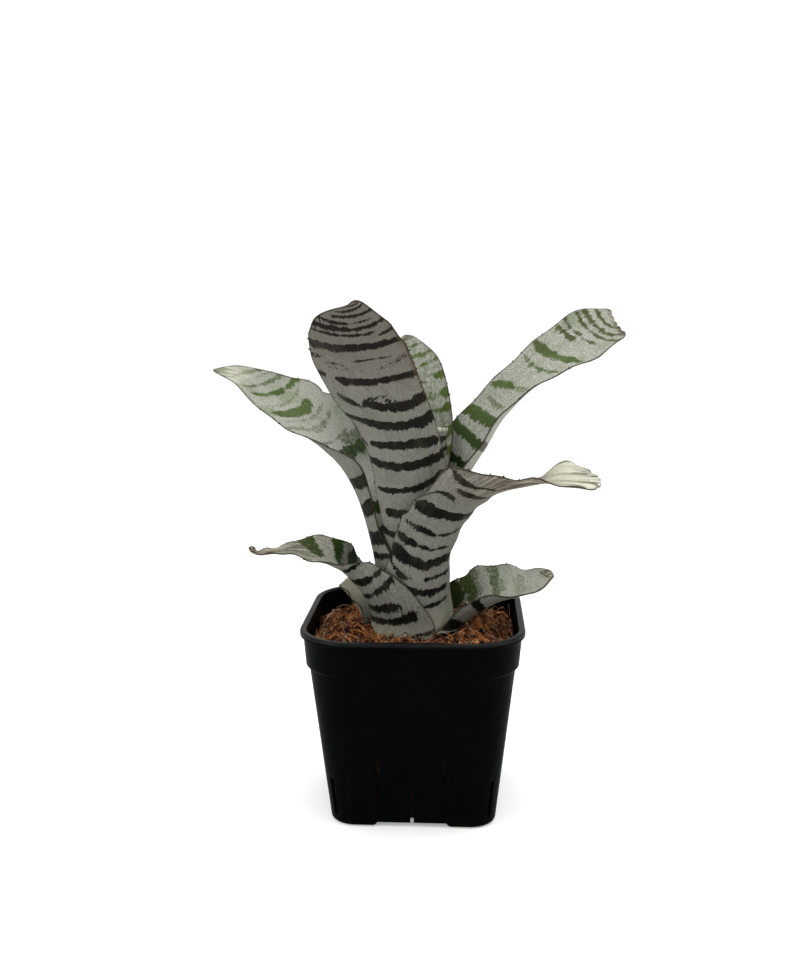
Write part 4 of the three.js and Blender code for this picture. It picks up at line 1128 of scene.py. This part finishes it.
# Each ring of a blade runs over the upper side, round the margin and back under it, and its columns
# stand closer together towards the margins.
lean = np.linspace(-1, 1, 2 * HALF_COLUMNS + 1)
lean = 0.35 * lean + 0.65 * np.sin(lean * np.pi / 2)
ring_across = np.concatenate([lean, [1.0], lean[::-1], [-1.0]])
ring_face = np.concatenate([np.ones(len(lean)), [0.0], -np.ones(len(lean)), [0.0]])
UPPER, UNDER, MARGIN = 0, 1, 2
half_ring = len(lean)
kind_of_column = np.full(len(ring_across), MARGIN)
kind_of_column[:half_ring - 1] = UPPER
kind_of_column[half_ring + 1:2 * half_ring] = UNDER
thickness = BLADE_THICKNESS / 2 * (1 - MARGIN_THINNING * np.abs(ring_across) ** 6) * ring_face
bulge = MARGIN_BULGE * np.sign(ring_across) * (ring_face == 0)
ribs = RIB_HEIGHT * np.sin(ring_across * RIBS) * np.abs(ring_face)

for number, (name, leaf) in enumerate(LEAVES.items()):
    rows = stations(leaf)
    cut = leaf.get("cut", False)
    place, v, closing = leaf_places(leaf, rows)
    half = through(rows, place)[:, 3:4]
    across = ring_across * closing[:, None]
    points, outward, sideways, along = leaf_surface(leaf, rows, place, v, across, v[-1])
    points = points + outward * (thickness + ribs)[None, :, None]
    points = points + sideways * (bulge * closing[:, None])[..., None]
    count, size = points.shape[:2]
    first_ring = np.arange(size)[None]
    last_ring = first_ring[:, ::-1] + (count - 1) * size
    parts = [points.reshape(-1, 3)]
    faces = [grid_faces(count, size)[:, ::-1], first_ring, last_ring]
    kinds = [np.tile(kind_of_column, count - 1), np.array([MARGIN]), np.array([MARGIN])]
    if not cut:
        spine_points, spine_sides, spine_caps = spines(leaf, rows, number, place, v, closing)
        parts.append(spine_points)
        faces += [spine_sides + count * size, spine_caps + count * size]
        kinds += [np.full(len(spine_sides), MARGIN), np.full(len(spine_caps), MARGIN)]
    finishes = [upper_side, under_side, horn]
    piece = build(name + "_blade", np.concatenate(parts), faces, finishes, kinds)

    reach = np.broadcast_to(v[:, None], across.shape)
    left = v[-1] - reach
    hand, rust_start, rust_end = leaf.get("rust", (0, 0, 1))
    rust = np.clip(hand * across * 3, 0, 1) * np.clip((reach - rust_start) / RUST_FADE, 0, 1)
    values = {
        "place": np.stack([across * half, reach, 0 * reach + PATTERN_SHIFT * number], -1),
        "band": band_depth(leaf["bands"], reach, across, half),
        "tint": np.stack([
            np.clip(1 - left / leaf.get("warm", DRY_TIP), 0, 1),
            np.clip((leaf.get("pale", PALE_BASE) - reach) / PALE_FADE, 0, 1),
            np.clip(1 - left / leaf.get("light", LIGHT_TIP), 0, 1),
        ], -1),
        "margin": np.stack([
            (1 - np.abs(ring_across)) * closing[:, None] * half,
            rust * np.clip((rust_end - reach) / RUST_FADE, 0, 1),
            np.where(ring_face > 0, leaf.get("shade", 0), leaf.get("painted_underside_light", 0)) + 0 * reach,
        ], -1),
    }
    for key, value in values.items():
        flat = np.zeros((len(piece.data.vertices), 3), np.float32)
        flat[:count * size] = value.reshape(-1, 3)
        attribute = piece.data.attributes.new(key, "FLOAT_VECTOR", "POINT")
        attribute.data.foreach_set("vector", flat.ravel())
    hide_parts(name)
    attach(piece, "root")
